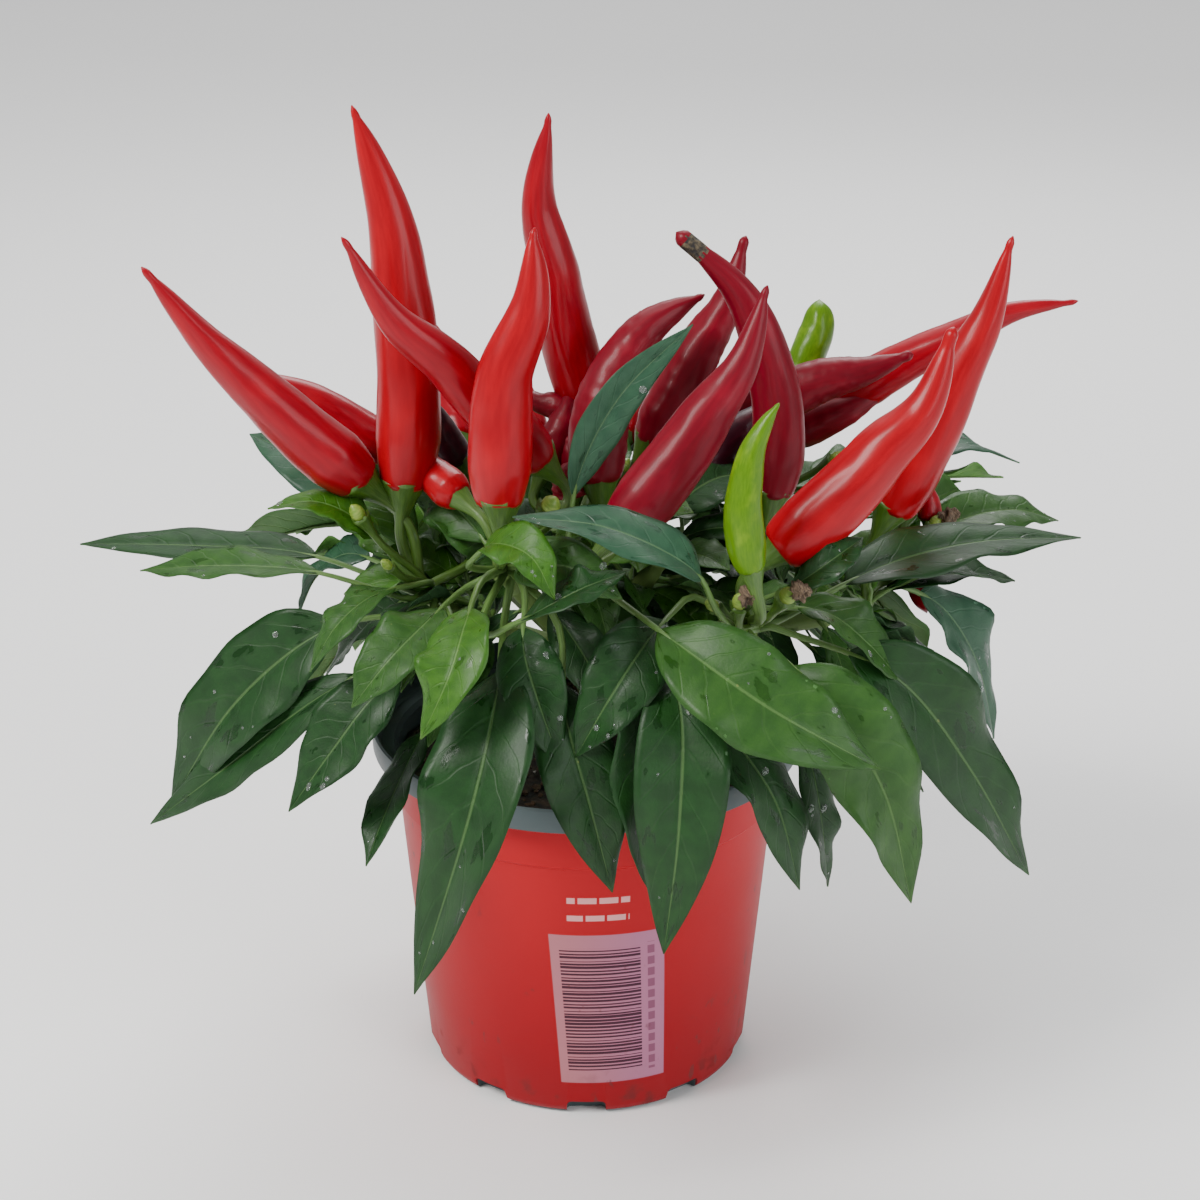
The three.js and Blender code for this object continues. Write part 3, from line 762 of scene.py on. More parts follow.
def cupped_stalk(root, base, heading, shoulder, seed, thickness=1.2 * mm, teeth=0.55 * mm):
    """A stalk with its calyx cup; the cup's rim has blunt teeth."""
    cup_length = min(9.0 * mm, 1.35 * shoulder + 1.5 * mm)
    grip = base + heading * 0.9 * mm
    stem_end = base - heading * cup_length
    line = np.concatenate([
        stalk_line(root, stem_end, heading, STALK_ROWS - CUP_ROWS),
        [np.array(stem_end.lerp(grip, (j + 1) / CUP_ROWS)) for j in range(CUP_ROWS)]])

    def radius(k, angles):
        j = k - (STALK_ROWS - CUP_ROWS - 1)
        cup = max(0.0, j / CUP_ROWS)
        opening = 0.45 * cup + 0.55 * cup * cup
        size = thickness * (1 + 0.18 * k / STALK_ROWS) * (1 - opening) + shoulder * 0.97 * opening
        ribs = 1 + (0.07 - 0.02 * opening) * np.cos(5 * angles + seed) + 0.02 * np.cos(3 * angles)
        return size * ribs

    points, faces, numbers, corners = limb(line, 20, radius)
    last = (STALK_ROWS - 1) * 20
    for j in range(20):
        tooth = max(0.0, math.cos(5 * j / 20 * math.tau + seed)) ** 2
        points[last + j] += np.array(heading) * teeth * (1.6 * tooth - 0.3)
    return points, faces, numbers, corners


for number, (name, (line, girth, skin)) in enumerate(fruit_places.items()):
    base = Vector(line[0])
    heading = (Vector(line[3]) - base).normalized()
    shoulder = max(girth[3:8])
    grasp = {"dried": 0.6, "broad_right": 0.70}.get(name, 0.85)
    stalk_parts.append(cupped_stalk(bough_tips[BOUGH_OF[name]], base + heading * 0.7 * mm, heading,
                                    shoulder * grasp, number * 1.7))

stalk_finish, stalk_shader, shade = new_finish("green_stalk", 0.45, Coat_Weight=0.15)
where = shade.add("ShaderNodeUVMap", {"uv_map": "OFBake"})
parts = shade.add("ShaderNodeSeparateXYZ", None, {"Vector": where}).socket.node.outputs
along = Shade(shade.tree, parts[1])
fibre = shade.noise(where, 14, 4, (4, 0.5, 1))
stalk_color = shade.mix(fibre.step(0.3, 0.75), (0.034, 0.088, 0.007), (0.085, 0.170, 0.018))
stalk_color = shade.mix(along.step(0.50, 1.0) * 0.6, stalk_color, (0.042, 0.110, 0.006))
stalk_color = shade.mix((1 - along.step(0.0, 0.2)) * 0.4, stalk_color, (0.12, 0.18, 0.04))
wire(shade, stalk_shader, stalk_color, 0.35 + fibre * 0.25, fibre, 0.3 * mm, 0.4)


# ---- Leaves ----
# Pointed oval leaves with a sunk midrib and bowed side veins, glossy and dark above and paler
# beneath. Each hangs from a grooved stalk on the nearest bough, and the young ones are bright;
# some carry a painted grey-green sheen.

# SHEEN_GREY is a leaf tone with a painted sheen: a grey-blue cast over the green.
DARK, MID, YOUNG, SHEEN_GREY = range(4)
LEAF_ROWS, LEAF_COLUMNS = 28, 12
LINE_ROWS = 40  # points along a leaf's own line
RIB_ROWS = 22  # rings along its stalk and rib
STALK_SHARE = 0.20  # how much of that line is bare stalk
EDGE_DROOP = 0.12  # how far the edges bend back down, as a share of the leaf's half width
leaf_parts = {tone: [] for tone in (DARK, MID, YOUNG, SHEEN_GREY)}
petiole_parts = []
leaf_surfaces = []
bough_path = np.concatenate([
    bough[0][8 * BOUGH_SIDES:BOUGH_ROWS * BOUGH_SIDES:BOUGH_SIDES] for bough in wood_limbs[1:]])
leaf_count = 0


def leaf_tile(kind, under):
    """One of four upper tiles, or the under tile below it: left, foot, width, height."""
    return (kind * 0.25 + 0.005, 0.005 if under else 0.505, 0.24, 0.49)


def skin_faces():
    """The faces of a leaf's two skins and its edge, and where each corner lies across and along."""
    faces, places, under = [], [], []
    wide = LEAF_COLUMNS + 1
    shift = LEAF_ROWS * wide
    for r in range(LEAF_ROWS - 1):
        for c in range(LEAF_COLUMNS):
            quad = [(r, c), (r, c + 1), (r + 1, c + 1), (r + 1, c)]
            faces.append([a * wide + b for a, b in quad])
            faces.append([shift + a * wide + b for a, b in reversed(quad)])
            places += [quad, quad[::-1]]
            under += [0, 1]
    rim = ([(0, c) for c in range(LEAF_COLUMNS)] + [(r, LEAF_COLUMNS) for r in range(LEAF_ROWS - 1)]
           + [(LEAF_ROWS - 1, c) for c in range(LEAF_COLUMNS, 0, -1)]
           + [(r, 0) for r in range(LEAF_ROWS - 1, 0, -1)])
    for one, two in zip(rim, rim[1:] + rim[:1]):
        i, j = one[0] * wide + one[1], two[0] * wide + two[1]
        faces.append([j, i, shift + i, shift + j])
        places.append([two, one, one, two])
        under.append(0)
    return faces, places, under


SKIN_FACES, SKIN_PLACES, SKIN_UNDER = skin_faces()
SKIN_CORNERS = []
for kind in range(4):
    corners = []
    for places, under in zip(SKIN_PLACES, SKIN_UNDER):
        left, foot, width, height = leaf_tile(kind, under)
        corners += [(left + width * c / LEAF_COLUMNS, foot + height * r / (LEAF_ROWS - 1))
                    for r, c in places]
    SKIN_CORNERS.append(corners)


def grow_leaf(knots, width, tone, roll=0, fold=16, wave=1.0, bare=STALK_SHARE):
    """One leaf along knots in millimetres, from its foot to its tip, with its stalk and rib."""
    global leaf_count
    leaf_count += 1
    seed = Vector((leaf_count * 2.3, leaf_count * 0.7, 1.1))
    line = smooth_line(np.array(knots, float) * mm, LINE_ROWS)
    tangents = np.gradient(line, axis=0)
    tangents /= np.linalg.norm(tangents, axis=1)[:, None]
    middle = line[LINE_ROWS // 2]
    outward = Vector((middle[0], middle[1] + 4 * mm, 0)).normalized()
    sides = np.cross(tangents, np.array(outward * 0.8 + Vector((0, 0, 1))))
    sides /= np.linalg.norm(sides, axis=1)[:, None]
    ups = np.cross(sides, tangents)
    turn = math.radians(roll)
    sides, ups = sides * math.cos(turn) + ups * math.sin(turn), ups * math.cos(turn) - sides * math.sin(turn)

    v = np.linspace(0, 1, LEAF_ROWS)
    row = (bare + v * (1 - bare)) * (LINE_ROWS - 1)
    low = np.minimum(row.astype(int), LINE_ROWS - 2)
    part = (row - low)[:, None]
    mid, side, up = (a[low] * (1 - part) + a[low + 1] * part for a in (line, sides, ups))
    x = np.linspace(-1, 1, LEAF_COLUMNS + 1)
    size = v ** 0.72 * (1 - v) ** 1.02
    size = size / size.max() * width / 2 * mm
    size = np.maximum(size, np.where(v < 0.5, 0.7 * mm, 0.12 * mm))
    slope = math.radians(fold)
    reach = size[:, None] * np.abs(x)[None, :]
    edge = np.array([[noise.noise(seed + Vector((2.0 * b, 5.0 * a, 0))) for b in (-1, 1)] for a in v])
    ripple = np.where(x[None, :] < 0, edge[:, :1], edge[:, 1:]) * np.abs(x)[None, :] ** 2
    vein = np.abs(np.sin(math.pi * (7.5 * (v[:, None] - 0.16 * np.abs(x)[None, :])))) ** 0.6
    bulge = vein * (1 - np.abs(x)[None, :] ** 3) * np.minimum(1, np.abs(x)[None, :] * 4)
    lift = (reach * math.sin(slope) - EDGE_DROOP * reach * np.abs(x) + wave * ripple * size[:, None] * 0.55
            + 0.34 * mm * (bulge - 0.5) * (size[:, None] / (size.max() + 1e-9)))
    upper = (mid[:, None, :] + side[:, None, :] * (size[:, None] * x[None, :] * math.cos(slope))[:, :, None]
             + up[:, None, :] * lift[:, :, None])
    thin = 0.30 * mm * (1 - 0.6 * np.abs(x) ** 4)[None, :, None]
    lower = upper - up[:, None, :] * thin
    points = np.concatenate([upper.reshape(-1, 3), lower.reshape(-1, 3)])
    kind = leaf_count % 4
    leaf_parts[tone].append((points, SKIN_FACES, SKIN_UNDER, SKIN_CORNERS[kind]))
    leaf_surfaces.append((upper, up))

    foot = line[0]
    joint = bough_path[np.argmin(np.linalg.norm(bough_path - foot, axis=1))]
    rib = line.copy()
    thickness = 0.70 + 0.25 * min(1.0, width / 22)
    share = np.linspace(0, 1, LINE_ROWS)
    below = (1 - share) ** 1.2 * thickness * mm + 0.30 * mm
    rib -= ups * (np.clip((share - bare) / 0.08, 0, 1) * below)[:, None]
    away = np.linalg.norm(joint - foot)
    elbow = foot - tangents[0] * away * 0.45
    start = [(1 - t) ** 2 * joint + 2 * t * (1 - t) * elbow + t * t * foot for t in (0, 0.3, 0.65)]
    start = start if away > 1.5 * mm else []
    rib = smooth_line(np.array([*start, *rib[::3]]), RIB_ROWS)

    def rib_radius(k, angles):
        share = k / (RIB_ROWS - 1)
        return np.full(len(angles), (1.0 * (1 - share) ** 1.2 + 0.10) * thickness * mm)

    petiole_parts.append(limb(rib, 7, rib_radius, tile=(0.01, 0.01, 0.98, 0.98)))


# Foot, two bends and tip of each leaf that shows, then its width and tone
grow_leaf([(-38, -24, 129), (-64, -19, 137), (-92, -8, 135), (-120, 1, 132)],
          17, DARK, roll=-12, bare=0.3, wave=0.5)
grow_leaf([(-41, -29, 130), (-62, -30, 137), (-84, -24, 136), (-103, -14, 131)],
          13, MID, roll=-14, bare=0.3, wave=0.6)
grow_leaf([(-42, -8, 133), (-54, 4, 143), (-68, 14, 149), (-82, 24, 152)], 17, SHEEN_GREY, roll=10)
grow_leaf([(-42, -24, 136), (-50, -26, 147), (-60, -26, 152), (-71, -25, 150)], 12, YOUNG, roll=-8)
grow_leaf([(-44, -2, 126), (-57, 8, 127), (-66, 12, 120), (-71, 14, 109)], 15, SHEEN_GREY, roll=10)
grow_leaf([(-36, -30, 127), (-58, -33, 124), (-80, -31, 105), (-98, -24, 76)],
          24, DARK, roll=34, fold=20, bare=0.30)
grow_leaf([(-33, -38, 124), (-58, -41, 112), (-82, -35, 91), (-103, -25, 71)], 15, DARK, roll=20, bare=0.24)
grow_leaf([(-33, -38, 122), (-46, -46, 114), (-56, -50, 102), (-66, -52, 88)], 17, DARK, roll=20)
grow_leaf([(-23, -48, 140), (-25, -64, 138), (-28, -73, 130), (-34, -76, 117)], 16, YOUNG, roll=-4)
grow_leaf([(-18, -42, 128), (-19, -66, 120), (-25, -78, 97), (-37, -78, 57)], 24, DARK, roll=-4)
grow_leaf([(-34, -14, 98), (-40, -30, 92), (-45, -46, 85), (-49, -55, 76)], 12, DARK)
grow_leaf([(-13, -46, 136), (-13, -58, 130), (-10, -64, 121), (-5, -66, 106)], 15, DARK)
grow_leaf([(-5, -46, 126), (-4, -62, 116), (1, -68, 98), (6, -69, 77)], 18, DARK)
grow_leaf([(22, -40, 134), (14, -57, 132), (6, -66, 123), (-2, -66, 108)], 17, DARK, roll=6)
grow_leaf([(12, -44, 126), (20, -66, 121), (20, -76, 97), (17, -78, 67)], 21, DARK, roll=-14)
grow_leaf([(8, -44, 124), (12, -62, 118), (13, -70, 98), (15, -70, 76)], 17, DARK, roll=18)
grow_leaf([(4, -44, 138), (20, -66, 134), (39, -77, 124), (62, -76, 110)],
          23, MID, roll=-16, fold=14, bare=0.25)
grow_leaf([(22, -46, 124), (30, -62, 114), (41, -67, 98), (47, -66, 76)], 18, DARK)
grow_leaf([(44, -40, 110), (50, -50, 99), (53, -53, 84), (55, -50, 68)], 12, DARK)
grow_leaf([(36, -48, 129), (50, -64, 122), (64, -68, 101), (72, -63, 71)], 22, MID, roll=-32)
grow_leaf([(42, -42, 128), (68, -45, 118), (87, -40, 93), (105, -28, 59)], 23, DARK, roll=-42)
grow_leaf([(71, -2, 124), (86, 6, 114), (97, 12, 96), (103, 16, 74)], 19, SHEEN_GREY, roll=-40)
grow_leaf([(46, -38, 130), (66, -30, 138), (90, -14, 138), (117, 0, 134)], 19, DARK, roll=16, wave=0.5)
grow_leaf([(68, 0, 124), (88, 12, 133), (104, 20, 134), (117, 26, 129)], 16, MID, roll=-8)
grow_leaf([(60, 34, 128), (82, 48, 138), (98, 56, 139), (113, 60, 133)], 13, SHEEN_GREY)
grow_leaf([(28, -56, 138), (22, -62, 150), (5, -60, 158), (-15, -56, 159)],
          15, SHEEN_GREY, roll=-18, bare=0.24, wave=0.6)
grow_leaf([(-4, -40, 146), (-1, -42, 164), (8, -40, 181), (23, -36, 195)],
          10.5, SHEEN_GREY, roll=-40, bare=0.24, wave=0.6)
grow_leaf([(-25, -44, 144), (-19, -56, 153), (-11, -64, 153), (-6, -68, 145)], 11, YOUNG, roll=10)
grow_leaf([(-19, -60, 134), (-9, -66, 142), (0, -66, 147), (9, -62, 149)], 13, DARK, roll=30)
grow_leaf([(14, -20, 141), (23, -14, 149), (32, -8, 152), (42, -4, 150)], 15, DARK)
grow_leaf([(-36, -30, 134), (-46, -42, 136), (-54, -48, 131), (-60, -50, 121)], 13, MID)
grow_leaf([(-28, -36, 134), (-34, -50, 133), (-42, -58, 127), (-50, -60, 117)], 15, MID, roll=10)
grow_leaf([(-16, -36, 140), (-12, -50, 146), (-2, -58, 148), (8, -60, 142)], 13, MID, roll=-12)
grow_leaf([(36, -44, 134), (46, -50, 142), (54, -50, 148), (60, -44, 150)], 10, DARK, roll=10)
grow_leaf([(38, -40, 132), (52, -44, 133), (62, -46, 126), (70, -44, 116)], 14, MID)
grow_leaf([(66, -5, 119), (62, -10, 125), (59, -12, 129), (55, -14, 133)], 5, YOUNG, bare=0.15)
grow_leaf([(67, -6, 121), (67, -9, 127), (66, -11, 132), (63, -12, 138)], 5, YOUNG, roll=-10, bare=0.15)


def spine(node):
    """Root, middle and tip of a foliage mass."""
    points = merged(node)[0]
    tip = max(points, key=lambda p: (p - FORK).length)
    root = max(points, key=lambda p: (p - tip).length)
    axis = tip - root
    inner = [p for p in points if 0.35 < (p - root).dot(axis) / axis.length_squared < 0.65]
    return root, sum(inner, Vector()) / len(inner), tip


def leaf_beside(root, middle, tip, yaw, stretch, sink, chance):
    """Knots of a leaf like the one from root to tip, turned by yaw degrees and shortened."""
    knots = []
    inward = FORK.lerp(root, chance.uniform(0.62, 1.0)) - root if yaw else Vector()
    for share, aim in ((0, root), (0.4, root.lerp(middle, 0.85)), (0.72, middle.lerp(tip, 0.5)), (1, tip)):
        arm = (aim - root) * stretch
        turn = math.radians(yaw)
        x = arm.x * math.cos(turn) - arm.y * math.sin(turn)
        y = arm.x * math.sin(turn) + arm.y * math.cos(turn)
        place = root + inward * (1 - share) + Vector((x, y, arm.z - share * share * sink * mm))
        knots.append(tuple(place / mm))
    return knots


# The masses behind grow by rule: a main leaf and its neighbours, from one node of a bough
REAR = ["back_left_high", "back_left_low", "back_high", "back_low", "back_right_low", "back_right_high"]
# Each leaf's yaw from the main one, in degrees, and its length as a share of the mass's own
SPRAY = [(0, 0.96), (-30, 0.86), (29, 0.88), (-14, 0.70), (15, 0.66), (-48, 0.62), (46, 0.60)]
chance = random.Random(7)
for name in REAR:
    root, middle, tip = spine("leaves_" + name)
    lower = "low" in name
    for yaw, stretch in SPRAY:
        knots = leaf_beside(root, middle, tip, yaw + chance.uniform(-6, 6),
                            stretch * chance.uniform(0.92, 1.0), chance.uniform(-3, 7), chance)
        # Leaves of the higher masses may take the tone with the painted sheen.
        tone = chance.choice((DARK, MID, MID) if lower else (MID, MID, SHEEN_GREY, YOUNG))
        grow_leaf(knots, chance.uniform(19, 26) * (0.7 + 0.3 * stretch), tone,
                  roll=chance.uniform(-14, 14), fold=chance.uniform(10, 24))

# Small leaves round each bough's tip, up among the fruit stalks and down into the shade
INNER_STEPS = {"back": 26, "back_left": 24, "back_right": 24, "right": 22, "left": 15, "middle": 20}
for number, name in enumerate(bough_tips):
    tip = bough_tips[name]
    for k in range(INNER_STEPS.get(name, 10)):
        share = chance.uniform(0.45, 1.0)
        foot = FORK.lerp(tip, share)
        foot.z += 2 * mm * math.sin(share * 3)
        bearing = math.atan2(tip.y - FORK.y, tip.x - FORK.x) + chance.uniform(-1.9, 1.9)
        if name == "middle":
            bearing = chance.uniform(0, math.tau)
        length = chance.uniform(26, 52 if tip.y > -10 * mm else 38) * mm
        rise = chance.uniform(-0.9, 0.55) if k % 3 else chance.uniform(0.5, 1.0)
        way = Vector((math.cos(bearing), math.sin(bearing), rise)).normalized()
        end = foot + way * length - Vector((0, 0, chance.uniform(2, 9) * mm))
        bend = foot.lerp(end, 0.36) + Vector((0, 0, 4.5 * mm))
        turn = foot.lerp(end, 0.7) + Vector((0, 0, 4.0 * mm))
        reach = Vector((end.x, end.y)).length
        open_sky = end.x > 50 * mm and end.z > 134 * mm
        if open_sky or end.z > 158 * mm or end.y < -48 * mm or (end.z < 92 * mm and reach < 50 * mm):
            continue
        grow_leaf([tuple(p / mm) for p in (foot, bend, turn, end)],
                  length / mm * chance.uniform(0.30, 0.40),
                  chance.choice((DARK, DARK, MID, YOUNG) if rise < 0.5 else (MID, YOUNG)),
                  roll=chance.uniform(-25, 25), bare=0.22)


def leaf_finish(name, under, low, high, pale, rib_tone, rough):
    """A leaf skin: mottled green between paler veins, with the midrib as its palest line."""
    material, shader, shade = new_finish(name, rough, Coat_Weight=0.0 if under else 0.06,
                                         Coat_Roughness=0.2, Specular_IOR_Level=0.27)
    where = shade.add("ShaderNodeUVMap", {"uv_map": "OFBake"})
    parts = shade.add("ShaderNodeSeparateXYZ", None, {"Vector": where}).socket.node.outputs
    u, v = Shade(shade.tree, parts[0]), Shade(shade.tree, parts[1])
    offset = shade.math("ABSOLUTE", shade.math("FRACT", u * 4) - 0.5) * 2.08
    along = (shade.math("FRACT", v * 2) - 0.01) * 1.02
    sway = shade.noise(where, 11, 1) * 0.10
    bow = along - offset * 0.16 - offset * offset * 0.05 + sway
    rung = shade.math("ABSOLUTE", shade.math("FRACT", bow * 7.5) - 0.5) * 2
    side_vein = (1 - (1 - rung).step(0.03, 0.16)) * (1 - offset.step(0.75, 1.0))
    midrib = 1 - offset.step(0.015, 0.05)
    mottle = shade.noise(where, 16, 4, (1, 2, 1))
    fine = shade.noise(where, 150, 3)
    color = shade.mix(mottle.step(0.3, 0.72) * 0.6 + 0.25, low, high)
    color = shade.mix(offset.step(0.6, 1.0) * 0.25, color, low)
    color = shade.mix(side_vein * (0.40 if under else 0.09), color, pale)
    color = shade.mix(midrib * (0.75 if under else 0.38), color, rib_tone)
    fleck = shade.noise(where, 55, 1).step(0.78, 0.82)
    color = shade.mix(fleck * 0.3, color, (0.30, 0.32, 0.08))
    color = shade.mix(along.step(0.93, 1.0) * 0.35, color, pale)
    relief = fine * 0.3 - side_vein * 0.35 - midrib * 0.8
    wet = shade.noise(where, 13, 3, (1.6, 1, 1)).step(0.59, 0.64) * (0.0 if under else 1.0)
    color = shade.mix(wet * 0.45, color, tuple(0.45 * part for part in low))
    wire(shade, shader, color, rough + fine * 0.12 - wet * 0.26, relief,
         0.35 * mm, 0.6 if not under else 0.9)
    return material


# The grey-green tone is a painted sheen: its grey-blue cast stands in for the reflection on leaves lit at a
# grazing angle.
LEAF_TONES = {
    DARK: ("dark_leaf", (0.0034, 0.028, 0.0038), (0.0100, 0.054, 0.0080), (0.030, 0.098, 0.020)),
    MID: ("green_leaf", (0.0125, 0.057, 0.0055), (0.0310, 0.100, 0.0120), (0.068, 0.160, 0.030)),
    YOUNG: ("young_leaf", (0.0190, 0.080, 0.0030), (0.0440, 0.140, 0.0070), (0.10, 0.22, 0.025)),
    SHEEN_GREY: ("grey_green_leaf", (0.0120, 0.054, 0.0260), (0.0300, 0.092, 0.0460), (0.070, 0.145, 0.085)),
}
LEAF_NODES = [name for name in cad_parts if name.startswith("leaves_")]
for tone, (name, low, high, pale) in LEAF_TONES.items():
    rib_tone = tuple(0.5 * a + 0.5 * b for a, b in zip(pale, (0.20, 0.34, 0.12)))
    under_low = tuple(1.9 * a + 0.020 for a in low)
    under_high = tuple(1.5 * a + 0.030 for a in high)
    under_pale = tuple(1.3 * a + 0.02 for a in pale)
    finishes = [leaf_finish(name + "_upper", False, low, high, pale, rib_tone, 0.43),
                leaf_finish(name + "_under", True, under_low, under_high, under_pale, rib_tone, 0.6)]
    joined_piece(name.replace("leaf", "leaves"), leaf_parts[tone], finishes, LEAF_NODES[tone::4])


# ---- Buds, spent flowers and setting fruits ----
# Flower buds and spent flowers stand at the nodes on their own thin stalks: a lime calyx, a pale
# green knob in it, and over the older ones a crumpled brown flower. Some fruits only begin to swell.

BUD_GREEN, FLOWER_BROWN = 0, 1
bud_parts = []
late_parts = []


def knob(base, heading, length, radius, crumple, seed, finish, sides=16, rows=12):
    """A small rounded body from base along heading; crumple makes it shrunken and creased."""
    line = np.array([np.array(base + heading * length * k / (rows - 1)) for k in range(rows)])

    def size(k, angles):
        share = k / (rows - 1)
        round_share = max(0.04, math.sin(math.pi * (0.12 + 0.88 * share)) ** 0.7)
        return radius * round_share * (1 + crumple * creases(angles, 2.6, 4 * share + seed))

    return limb(line, sides, size, finish=finish, tile=tile_of(finish, 2, 1))


def bud(foot, top, shoulder, spent, seed):
    """A stalk with a small calyx and its bud or setting fruit; a spent flower clings over it."""
    foot, top = Vector(foot) * mm, Vector(top) * mm
    heading = (top - foot).normalized()
    near = Vector(bough_path[np.argmin(np.linalg.norm(bough_path - np.array(foot), axis=1))])
    stalk_parts.append(cupped_stalk(near, top - heading * 1.0 * mm, heading, shoulder * mm, seed,
                                    0.8 * mm, 0.5 * mm))
    bud_parts.append(knob(top - heading * 0.8 * mm, heading, 4.6 * mm, shoulder * 0.74 * mm, 0.1, seed,
                          BUD_GREEN))
    if spent:
        bud_parts.append(knob(top + heading * 2.2 * mm, (heading + Vector((0.9, -0.3, -0.2))).normalized(),
                              5.4 * mm, 1.7 * mm, 1.3, seed, FLOWER_BROWN, 20, 16))


for number, (foot, top, shoulder, spent) in enumerate([
        ((33, -50, 128), (33, -56, 139), 2.3, True), ((37, -44, 127), (43, -52, 139), 2.6, True),
        ((67, -4, 120), (82, 2, 136), 2.0, True), ((-38, -22, 128), (-50, -28, 149), 2.3, False),
        ((-18, -34, 138), (-8, -40, 155), 3.0, False), ((66, -4, 118), (77, 6, 138), 2.2, True),
        ((-36, -24, 128), (-43, -38, 141), 1.5, False), ((38, -42, 126), (28, -52, 137), 1.8, False),
        ((4, 50, 122), (-8, 60, 136), 2.2, True), ((46, 30, 133), (60, 22, 146), 2.0, False),
        ((-34, 26, 128), (-50, 34, 140), 2.2, True), ((-3, -8, 139), (8, 2, 150), 2.0, False)]):
    bud(foot, top, shoulder, spent, number * 2.7)

bud_finish, bud_shader, shade = new_finish("bud_green", 0.45, Coat_Weight=0.15)
where = shade.add("ShaderNodeUVMap", {"uv_map": "OFBake"})
cloud = shade.noise(where, 9, 3)
wire(shade, bud_shader, shade.mix(cloud.step(0.3, 0.7), (0.12, 0.23, 0.015), (0.26, 0.36, 0.06)),
     0.4 + cloud * 0.2, cloud, 0.2 * mm, 0.3)
flower_finish, flower_shader, shade = new_finish("spent_flower", 0.85)
where = shade.add("ShaderNodeUVMap", {"uv_map": "OFBake"})
cloud = shade.noise(where, 24, 5)
wire(shade, flower_shader, shade.mix(cloud.step(0.3, 0.7), (0.035, 0.018, 0.012), (0.22, 0.15, 0.09)),
     0.7 + cloud * 0.25, cloud, 0.5 * mm, 0.8)
joined_piece("buds_and_flowers", bud_parts, [bud_finish, flower_finish])

LATE_ROWS = 32
# Late fruits, half hidden among the others: foot, base and tip, girth, skin and wrinkling
for number, (foot, base, tip, girth, skin, wear) in enumerate([
        ((-3, -8, 139), (-3, -14, 150), (-3, -16, 158), 9.0, CRIMSON, 2.4),
        ((-3, -8, 139), (-10, -2, 152), (-3, 4, 170), 9.0, CRIMSON, 1.4),
        ((-34, 26, 129), (-30, 2, 152), (-36, -4, 170), 8.5, MAROON, 0.5),
        ((-38, -24, 128), (-30, -11, 141), (-39, -9, 154), 8.0, CRIMSON, 0.5),
        ((46, 30, 134), (50, 34, 149), (75, 31, 162), 10.0, CRIMSON, 0.9),
        ((66, -4, 120), (81, 10, 119), (83, 9, 111), 6.5, RED, 0.3),
        ((66, -4, 120), (82, 6, 136), (80, 8, 146), 6.0, RED, 0.3),
        ((4, 50, 122), (-14, 58, 140), (-24, 66, 162), 9.5, RED, 0.2),
        ((46, 30, 134), (40, 50, 146), (44, 64, 168), 10.0, SCARLET, 0.1),
        ((4, 50, 122), (24, 62, 132), (34, 78, 148), 8.0, RED, 0.2)]):
    foot, base, tip = (Vector(place) * mm for place in (foot, base, tip))
    heading = (tip - base).normalized()
    sway = heading.cross(Vector((0, 0, 1))).normalized() * (0.06 * (tip - base).length)
    line = smooth_line([tuple(base), tuple(base.lerp(tip, 0.5) + sway), tuple(tip)], LATE_ROWS)

    def late_radius(k, angles, girth=girth, wear=wear, number=number):
        share = k / (LATE_ROWS - 1)
        size = girth / 2 * mm * max(0.03, 1 - share ** 2.6) * (0.6 + 0.4 * min(1, share / 0.12) ** 0.6)
        dents = creases(angles, 2.2, 11 * share + number * 3)
        return size * (1 + 0.03 * np.cos(3 * angles + number) + 0.09 * wear * dents)

    late_parts.append(limb(line, 24, late_radius, finish=skin, tile=tile_of(skin)))
    stalk_parts.append(cupped_stalk(foot, base + heading * 1.0 * mm, heading, girth * 0.44 * mm,
                                    number * 1.3, 1.1 * mm))
joined_piece("late_fruits", late_parts, ripe_finishes)
joined_piece("fruit_stalks", stalk_parts, [stalk_finish])


# ---- Leaf stalks and ribs ----
# Slender grooved stalks that carry the leaves; each runs on under its leaf as the raised midrib.

rib_finish, rib_shader, shade = new_finish("leaf_stalk_skin", 0.5, Coat_Weight=0.1)
where = shade.add("ShaderNodeUVMap", {"uv_map": "OFBake"})
parts = shade.add("ShaderNodeSeparateXYZ", None, {"Vector": where}).socket.node.outputs
along = Shade(shade.tree, parts[1])
fibre = shade.noise(where, 12, 3, (3, 0.6, 1))
rib_color = shade.mix(fibre.step(0.3, 0.7), (0.055, 0.125, 0.022), (0.11, 0.21, 0.045))
rib_color = shade.mix(along.step(0.3, 1.0) * 0.5, rib_color, (0.075, 0.15, 0.05))
wire(shade, rib_shader, rib_color, 0.4 + fibre * 0.2, fibre, 0.2 * mm, 0.4)
joined_piece("leaf_stalks", petiole_parts, [rib_finish])
print("leaves:", leaf_count)


# ---- Water drops ----
# Drops left by watering: low clear domes, each held by its own skin, on the leaves that look
# out to the front.

DROP_SIDES, DROP_RINGS = 18, 6
WET_LEAVES = 35  # the drops stand on the leaves that were placed first
drop_parts = []
chance = random.Random(19)


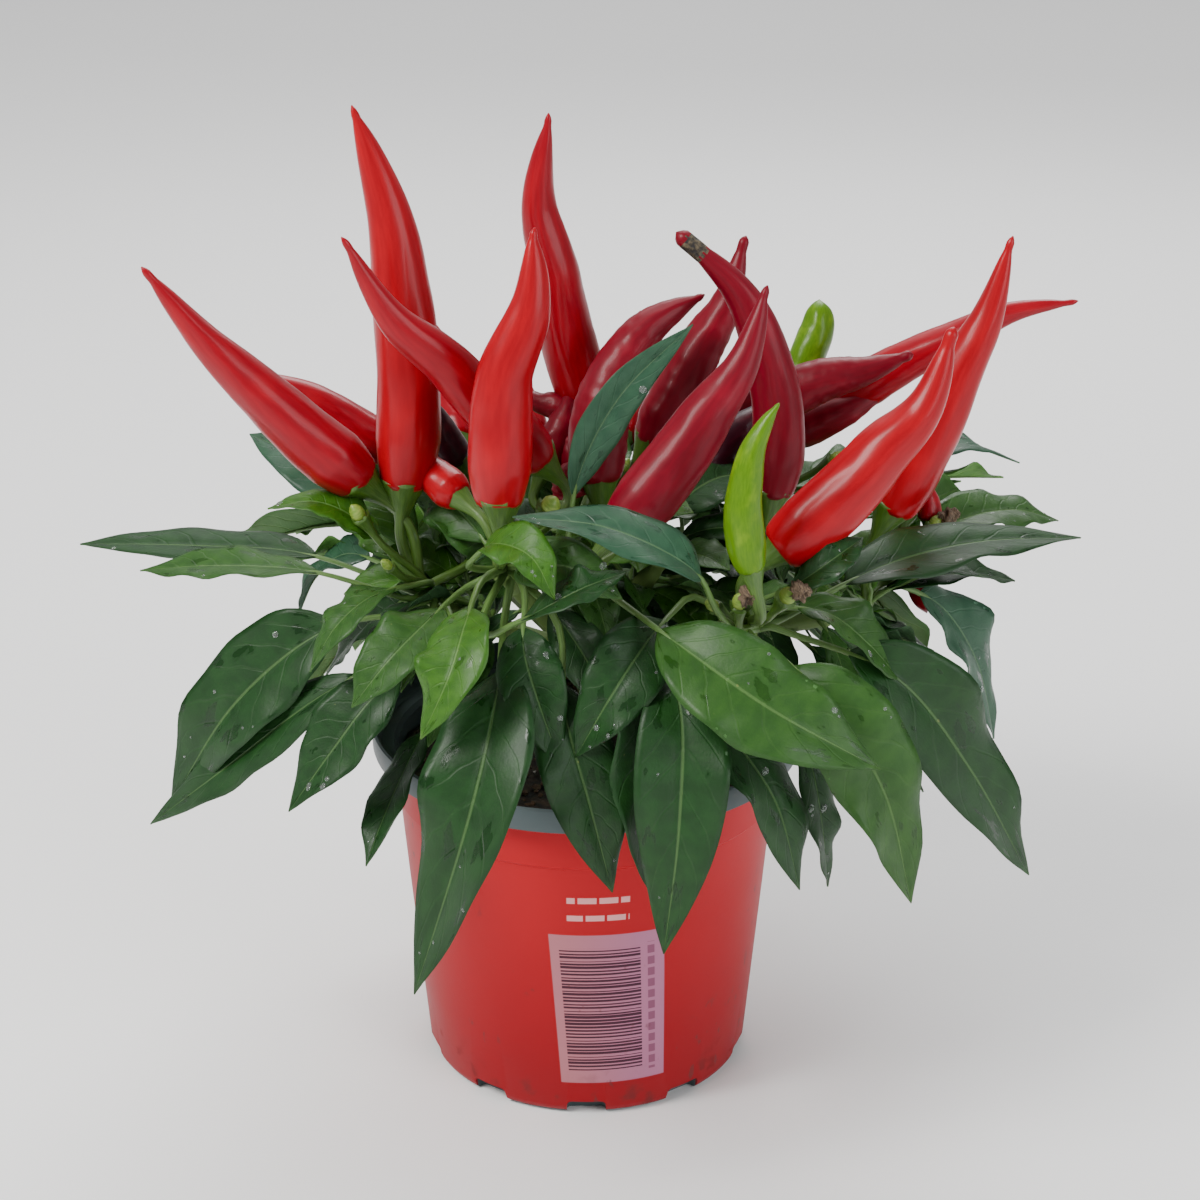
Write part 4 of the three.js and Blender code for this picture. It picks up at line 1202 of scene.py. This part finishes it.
def drop(place, up, radius, flat):
    """A dome of water on a surface."""
    up = Vector(up).normalized()
    side = up.orthogonal().normalized()
    other = up.cross(side)
    stretch = chance.uniform(0.75, 1.3)
    points, faces = [], []
    for r in range(DROP_RINGS):
        lean = math.pi / 2 * r / DROP_RINGS
        height = radius * flat * math.sin(lean) - 0.05 * mm
        for j in range(DROP_SIDES):
            a = math.tau * j / DROP_SIDES
            arm = (side * math.cos(a) * stretch + other * math.sin(a)) * radius * math.cos(lean)
            points.append(place + arm + up * height)
    points += [place + up * (radius * flat - 0.05 * mm), place - up * 0.15 * mm]
    top, foot = len(points) - 2, len(points) - 1
    for r in range(DROP_RINGS - 1):
        for j in range(DROP_SIDES):
            i = (j + 1) % DROP_SIDES
            low, high = r * DROP_SIDES, (r + 1) * DROP_SIDES
            faces.append([low + j, low + i, high + i, high + j])
    for j in range(DROP_SIDES):
        i = (j + 1) % DROP_SIDES
        faces.append([(DROP_RINGS - 1) * DROP_SIDES + j, (DROP_RINGS - 1) * DROP_SIDES + i, top])
        faces.append([i, j, foot])
    drop_parts.append((np.array([tuple(p) for p in points]), faces, [0] * len(faces), None))


for surface, ups in leaf_surfaces[:WET_LEAVES]:
    for k in range(chance.choice((1, 2, 4, 6))):
        row, column = chance.randrange(6, LEAF_ROWS - 3), chance.choice((1, 2, 5, 9, 10))
        place = Vector(surface[row, column])
        one = Vector(surface[row + 1, column]) - place
        two = Vector(surface[row, column + 1]) - place
        up = two.cross(one).normalized()
        if up.dot(Vector(ups[row])) < 0:
            up = -up
        place += one * chance.random() * 0.5
        drop(place, up, chance.uniform(0.25, 0.5) * mm * chance.choice((0.8, 1, 2)), 0.4)

water_finish, water_shader, shade = new_finish("clear_water", 0.03, Transmission_Weight=0.9, IOR=1.33)
point, x, y, z = place_of(shade)
film = shade.noise(point, 300, 2)
wire(shade, water_shader, shade.mix(film, (0.80, 0.90, 0.84), (0.97, 1.0, 0.98)), 0.01 + film * 0.05)
joined_piece("water_drops", drop_parts, [water_finish])
